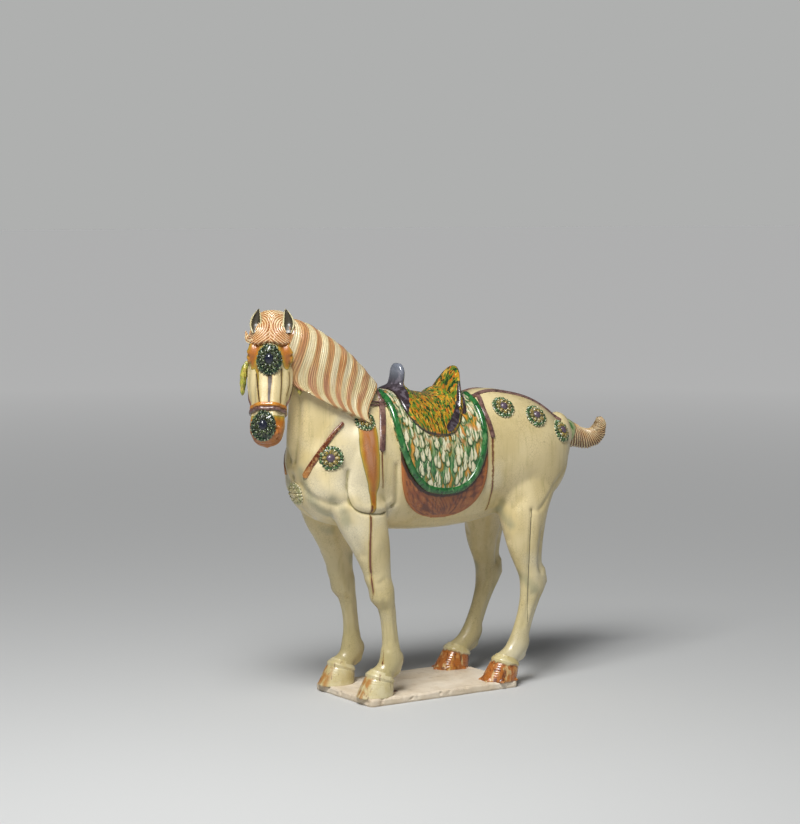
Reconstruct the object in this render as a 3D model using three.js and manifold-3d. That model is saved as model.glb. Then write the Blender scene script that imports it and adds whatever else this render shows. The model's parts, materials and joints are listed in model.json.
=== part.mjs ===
// A sancai glazed pottery horse on its slab, after the Tang tomb figures: a stocky saddled horse with its
// head turned to its left, a combed mane, a bound tail and moulded medallions, all luted together and fired as
// one piece. Millimetres, +Z up. The origin is the centre of the slab's underside, the horse faces -X and its
// left side is -Y.
import * as THREE from "three";
import { mergeVertices } from "three/addons/utils/BufferGeometryUtils.js";
import Module from "manifold-3d";

const wasm = await Module();
wasm.setup();

// The horse's height from the slab's top to the tips of its ears. Its whole figure follows from this.
const HORSE_HEIGHT = 677;

// The slab that the hooves stand on. The fore toes reach past its front edge.
const SLAB_THICK = 14;
const SLAB_CORNER = 9;
const TOE_OVERHANG = 7;
const SLAB_SIDE_MARGIN = 3;

// The stance: how far out from the middle line the hooves stand.
const FORE_HOOF_OUT = 64;
const HIND_HOOF_OUT = 68;
const RIGHT_HIND_STEP = 12;

// The applied pieces.
const LUTING = 3;
const CLOTH_THICK = 7;
const FELT_THICK = 5;
const PIPING_RADIUS = 4.5;
const STRAP_WIDTH = 9;
const STRAP_THICK = 3;
const MEDALLION_RADIUS = 19;
const MEDALLION_HEIGHT = 7;
const FACE_MEDALLION_RADIUS = 22;
const MUZZLE_MEDALLION_RADIUS = 24;
const MANE_LOCKS = 9;
const MANE_LIFT = 7;
const EAR_LENGTH = 42;

// Edges that stand out by less than this are merged.
const FACET = 0.9;

// The tables below draw a horse that is this many units tall and stands at height 0. The whole drawing is
// enlarged to HORSE_HEIGHT at the end, and real() turns a length in millimetres into the drawing's units.
const enlarged = () => {
  const drawnTall = 677;
  return HORSE_HEIGHT / drawnTall;
};
const real = (length) => length / enlarged();

const CLAY = new THREE.MeshStandardMaterial({ color: "#d9cfa6", roughness: 0.25, metalness: 0 });

const V = (x, y, z) => new THREE.Vector3(x, y, z);
const UP = V(0, 0, 1);
const LEFT = V(0, -1, 0);
const BACK = V(1, 0, 0);
const clamp = THREE.MathUtils.clamp;
const mix = THREE.MathUtils.lerp;
const rad = THREE.MathUtils.degToRad;

// Solids

function solidOf(points, triangles) {
  const loose = new THREE.BufferGeometry().setFromPoints(points);
  loose.setIndex(triangles.flat());
  const merged = mergeVertices(loose, 1e-3);
  const build = (triVerts) =>
    new wasm.Manifold(
      new wasm.Mesh({ numProp: 3, vertProperties: merged.attributes.position.array, triVerts }),
    );
  const triVerts = new Uint32Array(merged.index.array);
  const made = build(triVerts);
  return made.volume() < 0 ? build(triVerts.reverse()) : made;
}

const join = (solids) => solids.reduce((whole, next) => whole.add(next));

function geometryOf(solid) {
  const { numProp, vertProperties, triVerts } = solid.getMesh();
  const position = new THREE.InterleavedBufferAttribute(
    new THREE.InterleavedBuffer(vertProperties, numProp), 3, 0,
  );
  const geometry = new THREE.BufferGeometry().setAttribute("position", position);
  geometry.setIndex(new THREE.BufferAttribute(triVerts, 1));
  return geometry.toNonIndexed();
}

// Rings of points, one after another, skinned into a closed solid with a point at the middle of each end.
function skin(rings) {
  const around = rings[0].length;
  const points = rings.flat();
  const middle = (ring) => ring.reduce((sum, p) => sum.add(p), V(0, 0, 0)).divideScalar(around);
  const first = points.push(middle(rings[0])) - 1;
  const last = points.push(middle(rings.at(-1))) - 1;
  const end = (rings.length - 1) * around;
  const triangles = [];
  for (let j = 0; j < around; j++) {
    const k = (j + 1) % around;
    for (let at = 0; at < end; at += around) {
      triangles.push([at + j, at + k, at + around + k], [at + j, at + around + k, at + around + j]);
    }
    triangles.push([first, k, j], [last, end + j, end + k]);
  }
  return solidOf(points, triangles);
}

// A sheet between an outer and an inner surface, each a function of u and v from 0 to 1.
function panel(outer, inner, columns, rows) {
  const rings = [];
  for (let i = 0; i <= columns; i++) {
    const u = i / columns;
    const ring = [];
    for (let j = 0; j <= rows; j++) ring.push(outer(u, j / rows));
    for (let j = rows; j >= 0; j--) ring.push(inner(u, j / rows));
    rings.push(ring);
  }
  return skin(rings);
}

// Forms: rounded sections strung along a line

// Four numbers in a row, and the curve through the middle two.
function between(a, b, c, d, t) {
  const slopeB = (c - a) / 2;
  const slopeC = (d - b) / 2;
  return b + t * (slopeB + t * (3 * (c - b) - 2 * slopeB - slopeC + t * (2 * (b - c) + slopeB + slopeC)));
}

// rows holds numbers, and place says what they mean: a section's middle, its side and up directions, its half
// width, and how far it rises above and drops below its middle. Angle 0 is the top of a section, and it grows
// towards the left.
class Form {
  constructor(rows, place, square = 2) {
    this.rows = rows;
    this.place = place;
    this.square = square;
    this.last = rows.length - 1;
  }

  row(t) {
    const at = clamp(Math.floor(t), 0, this.last - 1);
    const pick = (i) => this.rows[clamp(i, 0, this.last)];
    return pick(at).map((_, k) => between(...[-1, 0, 1, 2].map((i) => pick(at + i)[k]), t - at));
  }

  // How far along the rows the first number reaches a value.
  reach(value) {
    let [low, high] = [0, this.last];
    const rising = this.rows.at(-1)[0] > this.rows[0][0];
    for (let i = 0; i < 30; i++) {
      const half = (low + high) / 2;
      if (this.row(half)[0] < value === rising) low = half;
      else high = half;
    }
    return low;
  }

  point(t, angle, lift = 0) {
    const s = this.place(this.row(t));
    const round = (value) => Math.sign(value) * Math.abs(value) ** (2 / this.square);
    const [c, d] = [Math.cos(rad(angle)), Math.sin(rad(angle))];
    const tall = c > 0 ? s.rise : s.drop;
    const normal = new THREE.Vector2(c / tall, d / s.wide).normalize();
    return s.at.clone()
      .addScaledVector(s.up, tall * round(c) + lift * normal.x)
      .addScaledVector(s.side, s.wide * round(d) + lift * normal.y);
  }

  // The direction out of the form at a point of its surface.
  outward(t, angle) {
    const along = this.point(Math.min(t + 0.05, this.last), angle)
      .sub(this.point(Math.max(t - 0.05, 0), angle));
    const across = this.point(t, angle + 3).sub(this.point(t, angle - 3));
    const normal = along.cross(across).normalize();
    const lifted = this.point(t, angle, 1).sub(this.point(t, angle));
    return normal.dot(lifted) < 0 ? normal.negate() : normal;
  }

  solid(around, along) {
    const rings = [];
    for (let i = 0; i <= along; i++) {
      const ring = [];
      for (let j = 0; j < around; j++) ring.push(this.point((this.last * i) / along, (360 * j) / around));
      rings.push(ring);
    }
    return skin(rings);
  }
}

// The body. Heights are above the slab's top.

// Along the back from the chest: x, height of the back, height of the belly, half width.
const TRUNK = new Form(
  [
    [-256, 416, 366, 14],
    [-249, 436, 344, 38],
    [-234, 464, 322, 58],
    [-210, 490, 306, 70],
    [-178, 512, 295, 77],
    [-140, 522, 288, 80],
    [-72, 522, 281, 81],
    [-20, 507, 277, 82],
    [40, 500, 276, 83],
    [90, 511, 279, 83],
    [135, 521, 286, 84],
    [180, 517, 300, 87],
    [225, 505, 320, 88],
    [262, 484, 344, 82],
    [288, 458, 368, 70],
    [303, 438, 385, 50],
    [311, 420, 398, 20],
  ],
  ([x, top, bottom, half]) => ({
    at: V(x, 0, mix(bottom, top, 0.48)),
    side: LEFT,
    up: UP,
    wide: half,
    rise: (top - bottom) * 0.52,
    drop: (top - bottom) * 0.48,
  }),
  2.15,
);
const trunk = (x, angle, lift) => TRUNK.point(TRUNK.reach(x), angle, lift);

// Up the neck, from the withers to the poll: the crest's x and height, the throat's x and height, how far the
// neck has swung to the left, and its half width.
const NECK = new Form(
  [
    [-62, 500, -244, 356, 0, 66],
    [-76, 517, -260, 402, 0, 63],
    [-104, 546, -265, 448, 1, 57],
    [-141, 582, -262, 492, 4, 51],
    [-176, 609, -262, 528, 8, 47],
    [-211, 629, -270, 560, 12, 43],
    [-244, 646, -286, 588, 14, 39],
    [-272, 652, -300, 612, 14, 33],
  ],
  ([crestX, crestZ, throatX, throatZ, swing, half]) => {
    const crest = V(crestX, -swing, crestZ);
    const throat = V(throatX, -swing, throatZ);
    const up = crest.clone().sub(throat);
    const deep = up.length() / 2;
    return {
      at: crest.clone().add(throat).divideScalar(2),
      side: LEFT,
      up: up.normalize(),
      wide: half,
      rise: deep,
      drop: deep,
    };
  },
  2,
);

// The head hangs from the poll, turned this far from straight ahead and pitched this far down.
const POLL = V(-302, -9, 662);
const HEAD_TURN = 56;
const HEAD_PITCH = 68;
const HEAD_ROLL = 1.6;
const FACING = V(-Math.cos(rad(HEAD_TURN)), -Math.sin(rad(HEAD_TURN)), 0);
const DOWN_FACE = FACING.clone().multiplyScalar(Math.cos(rad(HEAD_PITCH)))
  .addScaledVector(UP, -Math.sin(rad(HEAD_PITCH)));
const OFF_FACE = FACING.clone().multiplyScalar(Math.sin(rad(HEAD_PITCH)))
  .addScaledVector(UP, Math.cos(rad(HEAD_PITCH)));
const CHEEK_SIDE = OFF_FACE.clone().cross(DOWN_FACE);

// Down the face from the poll: distance, how far the brow and nose stand off, how deep the jaw is, and half
// the width.
const HEAD = new Form(
  [
    [-14, -18, 34, 10],
    [-6, -2, 50, 20],
    [14, 9, 72, 30],
    [40, 15, 86, 36],
    [66, 15, 94, 37.5],
    [92, 10, 95, 37.5],
    [114, 7, 88, 36.5],
    [130, 6, 70, 33],
    [148, 5, 54, 29.5],
    [168, 5, 48, 28.5],
    [188, 5, 47, 29.5],
    [204, 2, 46, 26.5],
    [214, -6, 41, 20],
    [220, -15, 32, 8],
  ],
  ([down, front, jaw, half]) => ({
    at: POLL.clone().addScaledVector(DOWN_FACE, down).addScaledVector(OFF_FACE, (front - jaw) / 2)
      .addScaledVector(CHEEK_SIDE, -down * Math.tan(rad(HEAD_ROLL))),
    side: CHEEK_SIDE,
    up: OFF_FACE,
    wide: half,
    rise: (front + jaw) / 2,
    drop: (front + jaw) / 2,
  }),
  2.3,
);
const head = (down, angle, lift) => HEAD.point(HEAD.reach(down), angle, lift);

// Legs, from the hoof up: height, x of the middle, half length, half width, share of the way out to the hoof,
// tilt of the section in degrees, front raised.
const FORELEG = [
  [30, -119, 22, 21, 1, 22],
  [41, -111, 18, 15.5, 1, 28],
  [49, -102, 19.5, 15.5, 1, 20],
  [60, -97, 21, 16.5, 1, 8],
  [75, -98, 18.5, 15, 1, 0],
  [92, -99, 15.5, 12.5, 1, 0],
  [122, -102, 15, 12, 1, 0],
  [146, -106, 17, 14, 1, 0],
  [164, -113, 22, 18, 1, 0],
  [186, -118, 25, 19, 1, 0],
  [206, -123, 25, 18.5, 0.98, 0],
  [232, -129, 30, 22, 0.96, 0],
  [262, -138, 38, 27, 0.94, 0],
  [296, -150, 48, 32, 0.9, 0],
  [340, -160, 56, 34, 0.82, 0],
  [380, -162, 50, 32, 0.74, 0],
];
const HINDLEG = [
  [30, 148, 21, 20, 1, 24],
  [40, 155, 18, 15.5, 1, 34],
  [49, 166, 19.5, 15.5, 1, 24],
  [60, 174, 19.5, 16, 1, 10],
  [78, 180, 17.5, 13.5, 1, 6],
  [110, 191, 17, 12.5, 1, 6],
  [140, 201, 20, 15, 1, 6],
  [162, 207, 24, 18, 1, 4],
  [180, 204, 24, 18, 1, 0],
  [200, 198, 26, 19, 0.98, 0],
  [228, 193, 33, 24, 0.95, 0],
  [262, 192, 41, 30, 0.9, 0],
  [298, 195, 50, 36, 0.8, 0],
  [340, 204, 64, 37, 0.7, 0],
  [384, 212, 70, 33, 0.64, 0],
  [420, 212, 50, 26, 0.58, 0],
];

// side is -1 on the left and 1 on the right, and step moves the hoof aft, fading out towards the body.
function legForm(rows, side, out, step = 0) {
  const stepFrom = 200;
  return new Form(rows, ([z, x, long, half, share, tilt]) => ({
    at: V(x + step * clamp(1 - z / stepFrom, 0, 1), side * out * share, z),
    side: LEFT,
    up: V(-Math.cos(rad(tilt)), 0, Math.sin(rad(tilt))),
    wide: half,
    rise: long,
    drop: long,
  }));
}

// A hoof is a slanted cone under the leg's lowest section, with the coronet's fold at its top.
const HOOF_HEIGHT = 32;
const HOOF_SINK = 4;
const HOOF_REACH = 34;
const HOOF_HALF = 27;
function hoof(leg, out, side, x) {
  const top = leg.place(leg.row(0));
  const rows = [
    [-HOOF_SINK, x, HOOF_REACH, HOOF_HALF, 0],
    [0, x, HOOF_REACH, HOOF_HALF, 0],
    [HOOF_HEIGHT * 0.55, mix(x, top.at.x, 0.55), 28.5, 25, 9],
    [HOOF_HEIGHT, top.at.x - 1, 25, 23, 20],
    [HOOF_HEIGHT + 4, top.at.x, 20, 19, 22],
  ];
  const form = new Form(rows, ([z, middle, long, half, tilt]) => ({
    at: V(middle, side * out, z),
    side: LEFT,
    up: V(-Math.cos(rad(tilt)), 0, Math.sin(rad(tilt))),
    wide: half,
    rise: long,
    drop: long,
  }), 2.1);
  return form.solid(12, 5);
}

const FORE_HOOF_X = -131;
const HIND_HOOF_X = 133;
function leg(rows, side, out, hoofX, step = 0) {
  const form = legForm(rows, side, out, step);
  return join([form.solid(10, rows.length), hoof(form, out, side, hoofX + step)]);
}

// A muscle is an egg laid on the body.
function muscle(middle, long, half, tall) {
  const ball = new THREE.SphereGeometry(1, 12, 8).scale(long, half, tall);
  const at = ball.attributes.position;
  const points = Array.from({ length: at.count }, (_, i) =>
    V(0, 0, 0).fromBufferAttribute(at, i).add(middle));
  const index = Array.from(ball.index.array);
  const triangles = [];
  for (let i = 0; i < index.length; i += 3) triangles.push(index.slice(i, i + 3));
  return solidOf(points, triangles);
}

const muscles = () => [-1, 1].flatMap((side) => [
  muscle(V(-144, side * 57, 402), 54, 27, 76),
  muscle(V(-201, side * 33, 372), 46, 38, 58),
  muscle(V(224, side * 45, 396), 74, 42, 84),
]);

// Ears, forelock, mane and tail

// An ear is a leaf whose front is scooped, leaning out from the poll.
function ear(side) {
  const out = CHEEK_SIDE.clone().multiplyScalar(-side);
  const root = POLL.clone().addScaledVector(DOWN_FACE, 29).addScaledVector(out, 28)
    .addScaledVector(OFF_FACE, 5);
  const rise = UP.clone().addScaledVector(out, -0.1).addScaledVector(FACING, -0.2).normalize();
  const profile = (s) => Math.sin(Math.PI * Math.min(0.22 + 0.78 * s, 1)) ** 0.8;
  const rings = [0, 0.14, 0.34, 0.56, 0.78, 0.93, 1].map((s) => {
    const half = 0.4 + 9.5 * profile(s);
    const bend = out.clone().multiplyScalar(3 * Math.sin(Math.PI * s));
    const middle = root.clone().addScaledVector(rise, real(EAR_LENGTH) * s).add(bend);
    return Array.from({ length: 12 }, (_, j) => {
      const angle = rad(30 * j);
      const scoop = Math.cos(angle) > 0 ? -0.25 : 0.95;
      return middle.clone().addScaledVector(out, half * Math.sin(angle))
        .addScaledVector(FACING, half * scoop * Math.cos(angle));
    });
  });
  return skin(rings);
}

// A tapering rope along a curve, with a half width across the surface and a height off it.
function rope(points, widths, heights, normalAt, around = 8) {
  const curve = new THREE.CatmullRomCurve3(points);
  const steps = widths.length - 1;
  const rings = widths.map((half, i) => {
    const s = i / steps;
    const middle = curve.getPoint(s);
    const along = curve.getTangent(s);
    const off = normalAt(middle, s);
    const across = along.clone().cross(off).normalize();
    return Array.from({ length: around }, (_, j) => {
      const angle = (2 * Math.PI * (j + 0.5)) / around;
      return middle.clone().addScaledVector(across, half * Math.sin(angle))
        .addScaledVector(off, heights[i] * Math.cos(angle));
    });
  });
  return skin(rings);
}

// The forelock is parted in the middle and combed out over both brows in two lobes.
const FORELOCK_SPREAD = 66;
const FORELOCK_THICK = 6;
function forelock() {
  const hem = (share) => {
    const away = Math.abs(share);
    return 52 - 8 * Math.cos(Math.PI * Math.min(2.4 * away, 1)) - 8 * away ** 3;
  };
  const at = (u, v, lift) => head(mix(-9, hem(2 * u - 1), v), FORELOCK_SPREAD * (2 * u - 1), lift);
  return panel((u, v) => at(u, v, real(FORELOCK_THICK)), (u, v) => at(u, v, -real(LUTING)), 10, 4);
}

// A tuft flicks up from its right-hand end.
function tuft() {
  const points = [head(40, -50, 2), head(38, -64, 6), head(28, -74, 10), head(15, -80, 15)];
  return rope(points, [10, 9, 7, 5, 2], [6, 6, 5, 3, 2], () => OFF_FACE, 6);
}

// The mane hangs from the crest in a curtain of combed locks, down the left side of the neck.
const MANE_CREST = [-278, -96];
const MANE_HEM = new THREE.CatmullRomCurve3([
  V(-290, 0, 600), V(-284, 0, 574), V(-268, 0, 549), V(-245, 0, 532),
  V(-216, 0, 514), V(-188, 0, 503), V(-162, 0, 493), V(-138, 0, 485),
]);

// The left side of the neck at a point seen from the side.
function neckSide(x, z, lift) {
  let [low, high] = [0, NECK.last];
  const across = (t) => {
    const s = NECK.place(NECK.row(t));
    const [dx, dz] = [x - s.at.x, z - s.at.z];
    return { ahead: s.up.x * dz - s.up.z * dx, up: dx * s.up.x + dz * s.up.z, s };
  };
  for (let i = 0; i < 30; i++) {
    const half = (low + high) / 2;
    if (across(half).ahead > 0) low = half;
    else high = half;
  }
  const { up, s } = across(low);
  const bow = Math.sqrt(clamp(1 - (up / s.rise) ** 2, 0.02, 1));
  return V(x, s.at.y - s.wide * bow - lift, z);
}

function mane() {
  const overCrest = 0.2;
  const at = (u, v, lift) => {
    const t = NECK.reach(mix(...MANE_CREST, u));
    if (v < overCrest) return NECK.point(t, -26 * (1 - v / overCrest), lift * 0.7);
    const down = (v - overCrest) / (1 - overCrest);
    const top = NECK.point(t, 0, lift * 0.7);
    const hem = MANE_HEM.getPoint(u);
    const sweep = 8 * Math.sin(Math.PI * down);
    return neckSide(mix(top.x, hem.x, down) - sweep, mix(top.z, hem.z, down), lift * down);
  };
  const lock = (u, v) =>
    1.8 * Math.cos(2 * Math.PI * MANE_LOCKS * u) * Math.sin(Math.PI * clamp(v, 0.1, 0.9));
  return panel(
    (u, v) => at(u, v, real(MANE_LIFT) + 5 * v + lock(u, v)),
    (u, v) => at(u, v, -real(LUTING) * 2),
    MANE_LOCKS * 3 - 3, 5,
  );
}

// The tail is docked and bound, and its end curls up.
function tail() {
  const points = [
    V(296, 0, 440), V(324, 0, 432), V(354, 0, 422), V(382, 0, 416),
    V(403, 0, 422), V(413, 0, 440), V(411, 0, 455),
  ];
  const round = [23, 22, 20, 19, 19, 18, 16, 14, 12, 9, 4];
  return rope(points, round, round, () => LEFT, 10);
}

// Saddle, cloth, felt and straps

// A sheet laid over the back. It keeps its full length down to one angle and is rounded off to another.
const CLOTH = { middle: 1, half: 97, from: 48, hem: 108, power: 2.6 };
const FELT = { middle: 4, half: 91, from: 70, hem: 137, power: 3.4 };
const SEAT = { middle: -9, half: 62, from: 29, hem: 62, power: 3.1 };
function reachOf(sheet, angle) {
  const down = clamp((Math.abs(angle) - sheet.from) / (sheet.hem - sheet.from), 0, 1);
  return sheet.half * Math.max(1 - down ** sheet.power, 0.1) ** 0.5;
}
function hanging(sheet, thick, columns, rows) {
  const at = (u, v, lift) => {
    const angle = mix(-sheet.hem, sheet.hem, v);
    return trunk(sheet.middle + reachOf(sheet, angle) * (2 * u - 1), angle, lift(u, v));
  };
  return panel((u, v) => at(u, v, thick), (u, v) => at(u, v, () => -real(LUTING)), columns, rows);
}

// The rolled edge of the saddle cloth, down one side, along the hem and up again.
function piping(side) {
  const inset = real(PIPING_RADIUS);
  const points = [];
  for (let i = 0; i <= 20; i++) {
    const turn = Math.PI * (i / 20);
    const angle = mix(16, CLOTH.hem - 2, Math.sin(turn) ** 0.62);
    const x = CLOTH.middle - Math.sign(Math.cos(turn)) * (reachOf(CLOTH, angle) - inset);
    points.push(trunk(i === 10 ? CLOTH.middle : x, -side * angle, real(CLOTH_THICK) - 1));
  }
  const width = Array(25).fill(inset);
  return rope(points, width, width, (p) => V(0, p.y, (p.z - 400) * 0.6).normalize(), 5);
}

// The pommel and the cantle are upright plates: height, x, half width, half thickness.
const POMMEL = [
  [440, -74, 72, 6],
  [468, -71, 64, 6],
  [488, -64, 54, 7],
  [504, -56, 42, 7],
  [520, -50, 30, 7],
  [536, -46, 23, 7],
  [552, -43, 20, 7],
  [566, -42, 15, 6],
  [573, -42, 6, 4],
];
const CANTLE = [
  [440, 46, 72, 8],
  [468, 49, 68, 9],
  [488, 54, 62, 9],
  [504, 58, 56, 9],
  [520, 62, 48, 7.5],
  [536, 68, 38, 6],
  [550, 73, 27, 6],
  [560, 77, 16, 5],
  [565, 79, 5, 3],
];
const plate = (rows) =>
  new Form(rows, ([z, x, half, thick]) => ({
    at: V(x, 0, z), side: LEFT, up: BACK, wide: half, rise: thick, drop: thick,
  }), 2.4).solid(12, rows.length);

// The seat is padded in the middle, and its skirt thins out towards the hem on the cloth.
const SKIRT_LIFT = real(CLOTH_THICK) + 4;
const SEAT_PAD = 6;
const seat = () => hanging(SEAT, (u) => SKIRT_LIFT + SEAT_PAD * (1 - Math.abs(2 * u - 1) ** 3), 8, 12);

// A strap lies along points on the body.
function strap(points, off, width = real(STRAP_WIDTH)) {
  const steps = 2 * points.length;
  return rope(points, Array(steps).fill(width / 2), Array(steps).fill(real(STRAP_THICK)), off, 4);
}
const fromSpine = (p) => V(0, p.y, p.z - 400).normalize();
const fromNeck = (p) => V(Math.min(p.x + 150, 0), p.y, 0).normalize();

const straps = () => [-1, 1].flatMap((side) => [
  strap([trunk(70, -side * 30, 2), trunk(120, -side * 16, 2), trunk(170, -side * 17, 2),
    trunk(215, -side * 20, 2), trunk(255, -side * 26, 2), trunk(285, -side * 40, 1)], fromSpine),
  strap([trunk(88, -side * 26, 2), trunk(104, -side * 44, 2), trunk(122, -side * 66, 2)], fromSpine, 8),
  strap([trunk(-104, -side * 20, 3), trunk(-112, -side * 42, 3), trunk(-114, -side * 60, 3),
    trunk(-116, -side * 82, 2)], fromSpine, 9),
  strap([V(-190, side * 66, 482), V(-222, side * 60, 450), V(-250, side * 38, 410),
    V(-266, side * 6, 385)], fromNeck, 8),
]);

// A medallion is a scalloped dome with a boss in its middle.
function medallion(middle, off, radius = real(MEDALLION_RADIUS)) {
  const across = Math.abs(off.z) > 0.9 ? BACK.clone() : UP.clone().cross(off).normalize();
  const up = off.clone().cross(across).normalize();
  const profile = [[1, -6], [1, 2], [0.78, 5], [0.5, 3], [0.3, real(MEDALLION_HEIGHT)]];
  const petals = 7;
  const rings = profile.map(([share, height], row) =>
    Array.from({ length: 2 * petals }, (_, j) => {
      const angle = (Math.PI * j) / petals;
      const scallop = row > 3 ? 1 : j % 2 ? 0.9 : 1;
      return middle.clone().addScaledVector(across, radius * share * scallop * Math.cos(angle))
        .addScaledVector(up, radius * share * scallop * Math.sin(angle))
        .addScaledVector(off, height);
    }));
  return skin(rings);
}
const onTrunk = (x, angle) => medallion(trunk(x, angle), TRUNK.outward(TRUNK.reach(x), angle));
const onHead = (down, angle, radius) => medallion(head(down, angle), OFF_FACE, radius);

const medallions = () => [
  ...[-1, 1].flatMap((side) => [
    onTrunk(146, -side * 43), onTrunk(211, -side * 52), onTrunk(268, -side * 64), onTrunk(-150, -side * 50),
    medallion(V(-219, side * 66, 421), V(-0.7, side * 0.7, 0).normalize()),
  ]),
  onHead(83, 0, real(FACE_MEDALLION_RADIUS)),
  onHead(196, 12, real(MUZZLE_MEDALLION_RADIUS)),
];

function slab() {
  const outline = new THREE.Shape();
  const x = (HOOF_REACH - FORE_HOOF_X) * enlarged() - TOE_OVERHANG;
  const y = FORE_HOOF_OUT + HOOF_HALF * enlarged() + SLAB_SIDE_MARGIN;
  const r = SLAB_CORNER;
  outline.absarc(x - r, y - r, r, 0, Math.PI / 2);
  outline.absarc(r - x, y - r, r, Math.PI / 2, Math.PI);
  outline.absarc(r - x, r - y, r, Math.PI, 1.5 * Math.PI);
  outline.absarc(x - r, r - y, r, 1.5 * Math.PI, 2 * Math.PI);
  const block = new THREE.ExtrudeGeometry(outline, {
    depth: SLAB_THICK, bevelEnabled: false, curveSegments: 3,
  });
  block.deleteAttribute("normal");
  block.deleteAttribute("uv");
  const merged = mergeVertices(block);
  return new wasm.Manifold(new wasm.Mesh({
    numProp: 3,
    vertProperties: merged.attributes.position.array,
    triVerts: new Uint32Array(merged.index.array),
  }));
}

const pieces = {
  trunk: [TRUNK.solid(20, 18)],
  neck: [NECK.solid(16, 9)],
  head: [HEAD.solid(16, 15)],
  legs: [
    leg(FORELEG, -1, real(FORE_HOOF_OUT), FORE_HOOF_X),
    leg(FORELEG, 1, real(FORE_HOOF_OUT), FORE_HOOF_X),
    leg(HINDLEG, -1, real(HIND_HOOF_OUT), HIND_HOOF_X),
    leg(HINDLEG, 1, real(HIND_HOOF_OUT), HIND_HOOF_X, -real(RIGHT_HIND_STEP)),
  ],
  muscles: muscles(),
  ears: [ear(-1), ear(1)],
  forelock: [forelock(), tuft()],
  mane: [mane()],
  tail: [tail()],
  felt: [hanging(FELT, () => real(FELT_THICK), 7, 18)],
  cloth: [hanging(CLOTH, () => real(CLOTH_THICK), 8, 16)],
  piping: [piping(-1), piping(1)],
  saddle: [seat(), plate(POMMEL), plate(CANTLE)],
  straps: straps(),
  medallions: medallions(),
};

// The clay is pressed tight where pieces meet, so only the outermost shell of the joined solids is kept.
const figure = join(Object.values(pieces).flat()).scale(enlarged()).translate([0, 0, SLAB_THICK]);
const shells = join([slab(), figure]).simplify(FACET).decompose();
const outermost = shells.reduce((best, next) => (next.volume() > best.volume() ? next : best));

const horse = new THREE.Mesh(geometryOf(outermost), CLAY);
horse.name = "horse";

const part = new THREE.Group();
part.add(horse);
export default part;
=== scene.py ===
# %% [markdown]
# # A sancai glazed pottery horse
# Sancai means three colours: a buff earthenware body under runny lead glazes in cream, amber and green. The
# real horse was pressed in moulds, luted together with slip, carved and combed while leather-hard, and fired
# twice. Here each part of the body is a string of rounded sections, all of them are fused into one skin, and
# the carving is then pressed into that skin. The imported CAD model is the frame: it says how big everything
# is and where it stands.

# %% The frame and the tools
import json
import math
import bmesh
import bpy
import numpy as np
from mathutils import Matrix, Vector, noise
from mathutils.bvhtree import BVHTree

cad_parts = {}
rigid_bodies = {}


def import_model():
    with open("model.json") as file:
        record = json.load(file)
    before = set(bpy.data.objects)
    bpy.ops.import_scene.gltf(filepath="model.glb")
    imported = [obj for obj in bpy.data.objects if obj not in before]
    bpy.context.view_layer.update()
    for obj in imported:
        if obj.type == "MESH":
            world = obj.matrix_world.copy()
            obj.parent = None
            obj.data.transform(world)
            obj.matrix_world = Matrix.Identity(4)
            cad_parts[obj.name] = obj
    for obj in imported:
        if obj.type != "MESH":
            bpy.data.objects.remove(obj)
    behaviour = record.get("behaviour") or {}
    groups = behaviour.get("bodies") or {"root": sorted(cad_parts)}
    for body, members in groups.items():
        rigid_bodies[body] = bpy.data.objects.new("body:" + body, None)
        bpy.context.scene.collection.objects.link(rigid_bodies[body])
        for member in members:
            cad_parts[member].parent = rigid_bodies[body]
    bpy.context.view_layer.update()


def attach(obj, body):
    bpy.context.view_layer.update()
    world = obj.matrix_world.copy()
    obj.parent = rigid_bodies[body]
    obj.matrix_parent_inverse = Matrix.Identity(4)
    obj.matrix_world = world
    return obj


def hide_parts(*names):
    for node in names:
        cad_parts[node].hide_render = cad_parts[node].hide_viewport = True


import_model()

# %% [markdown]
# ## The camera comes first
# The camera stands where the photographer stood, a little above the horse's knees and off its left shoulder.
# It is worked out from the slab's corners and the hooves. Knowing it also helps the modelling: a line of
# sight through a point of the picture meets the skin at one place, so a strap or a glaze run goes exactly
# where it is seen.

# %% Camera
LEVEL = math.radians(5.1)
ROUND = math.radians(-33.4)
TARGET = np.array([-0.036, 0.0, 0.5])
DISTANCE = 4.05
LENS, SENSOR = 100.0, 36.0
FRAME_W, FRAME_H = 800, 824
BACK = np.array([math.sin(ROUND) * math.cos(LEVEL), -math.cos(ROUND) * math.cos(LEVEL), math.sin(LEVEL)])
RIGHT = np.array([math.cos(ROUND), math.sin(ROUND), 0.0])
UP = np.cross(BACK, RIGHT)
EYE = TARGET + BACK * DISTANCE


def line_of_sight(px, py):
    """The direction through a point of the picture, in pixels from its top left corner."""
    focal = LENS / SENSOR * FRAME_H
    ray = RIGHT * (px - FRAME_W / 2) - UP * (py - FRAME_H / 2) - BACK * focal
    return ray / np.linalg.norm(ray)


lens = bpy.data.cameras.new("camera")
lens.lens, lens.sensor_width, lens.sensor_fit = LENS, SENSOR, "AUTO"
camera = bpy.data.objects.new("camera", lens)
bpy.context.scene.collection.objects.link(camera)
camera.location = EYE
camera.rotation_euler = Vector(-BACK).to_track_quat("-Z", "Y").to_euler()
bpy.context.scene.camera = camera
print("camera at", np.round(EYE, 3))

# %% [markdown]
# ## Meshes from numbers
# Every surface here starts as a grid of points in millimetres. These few helpers make a mesh of a grid,
# smooth it, and keep a number at each point, such as how deep a hollow is, for the pooled glaze and painted
# shade there.

# %% Mesh helpers
MM = 0.001


def mesh_object(name, points, faces):
    mesh = bpy.data.meshes.new(name)
    mesh.from_pydata((np.asarray(points) * MM).tolist(), [], faces)
    mesh.validate()
    obj = bpy.data.objects.new(name, mesh)
    bpy.context.scene.collection.objects.link(obj)
    return obj


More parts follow.
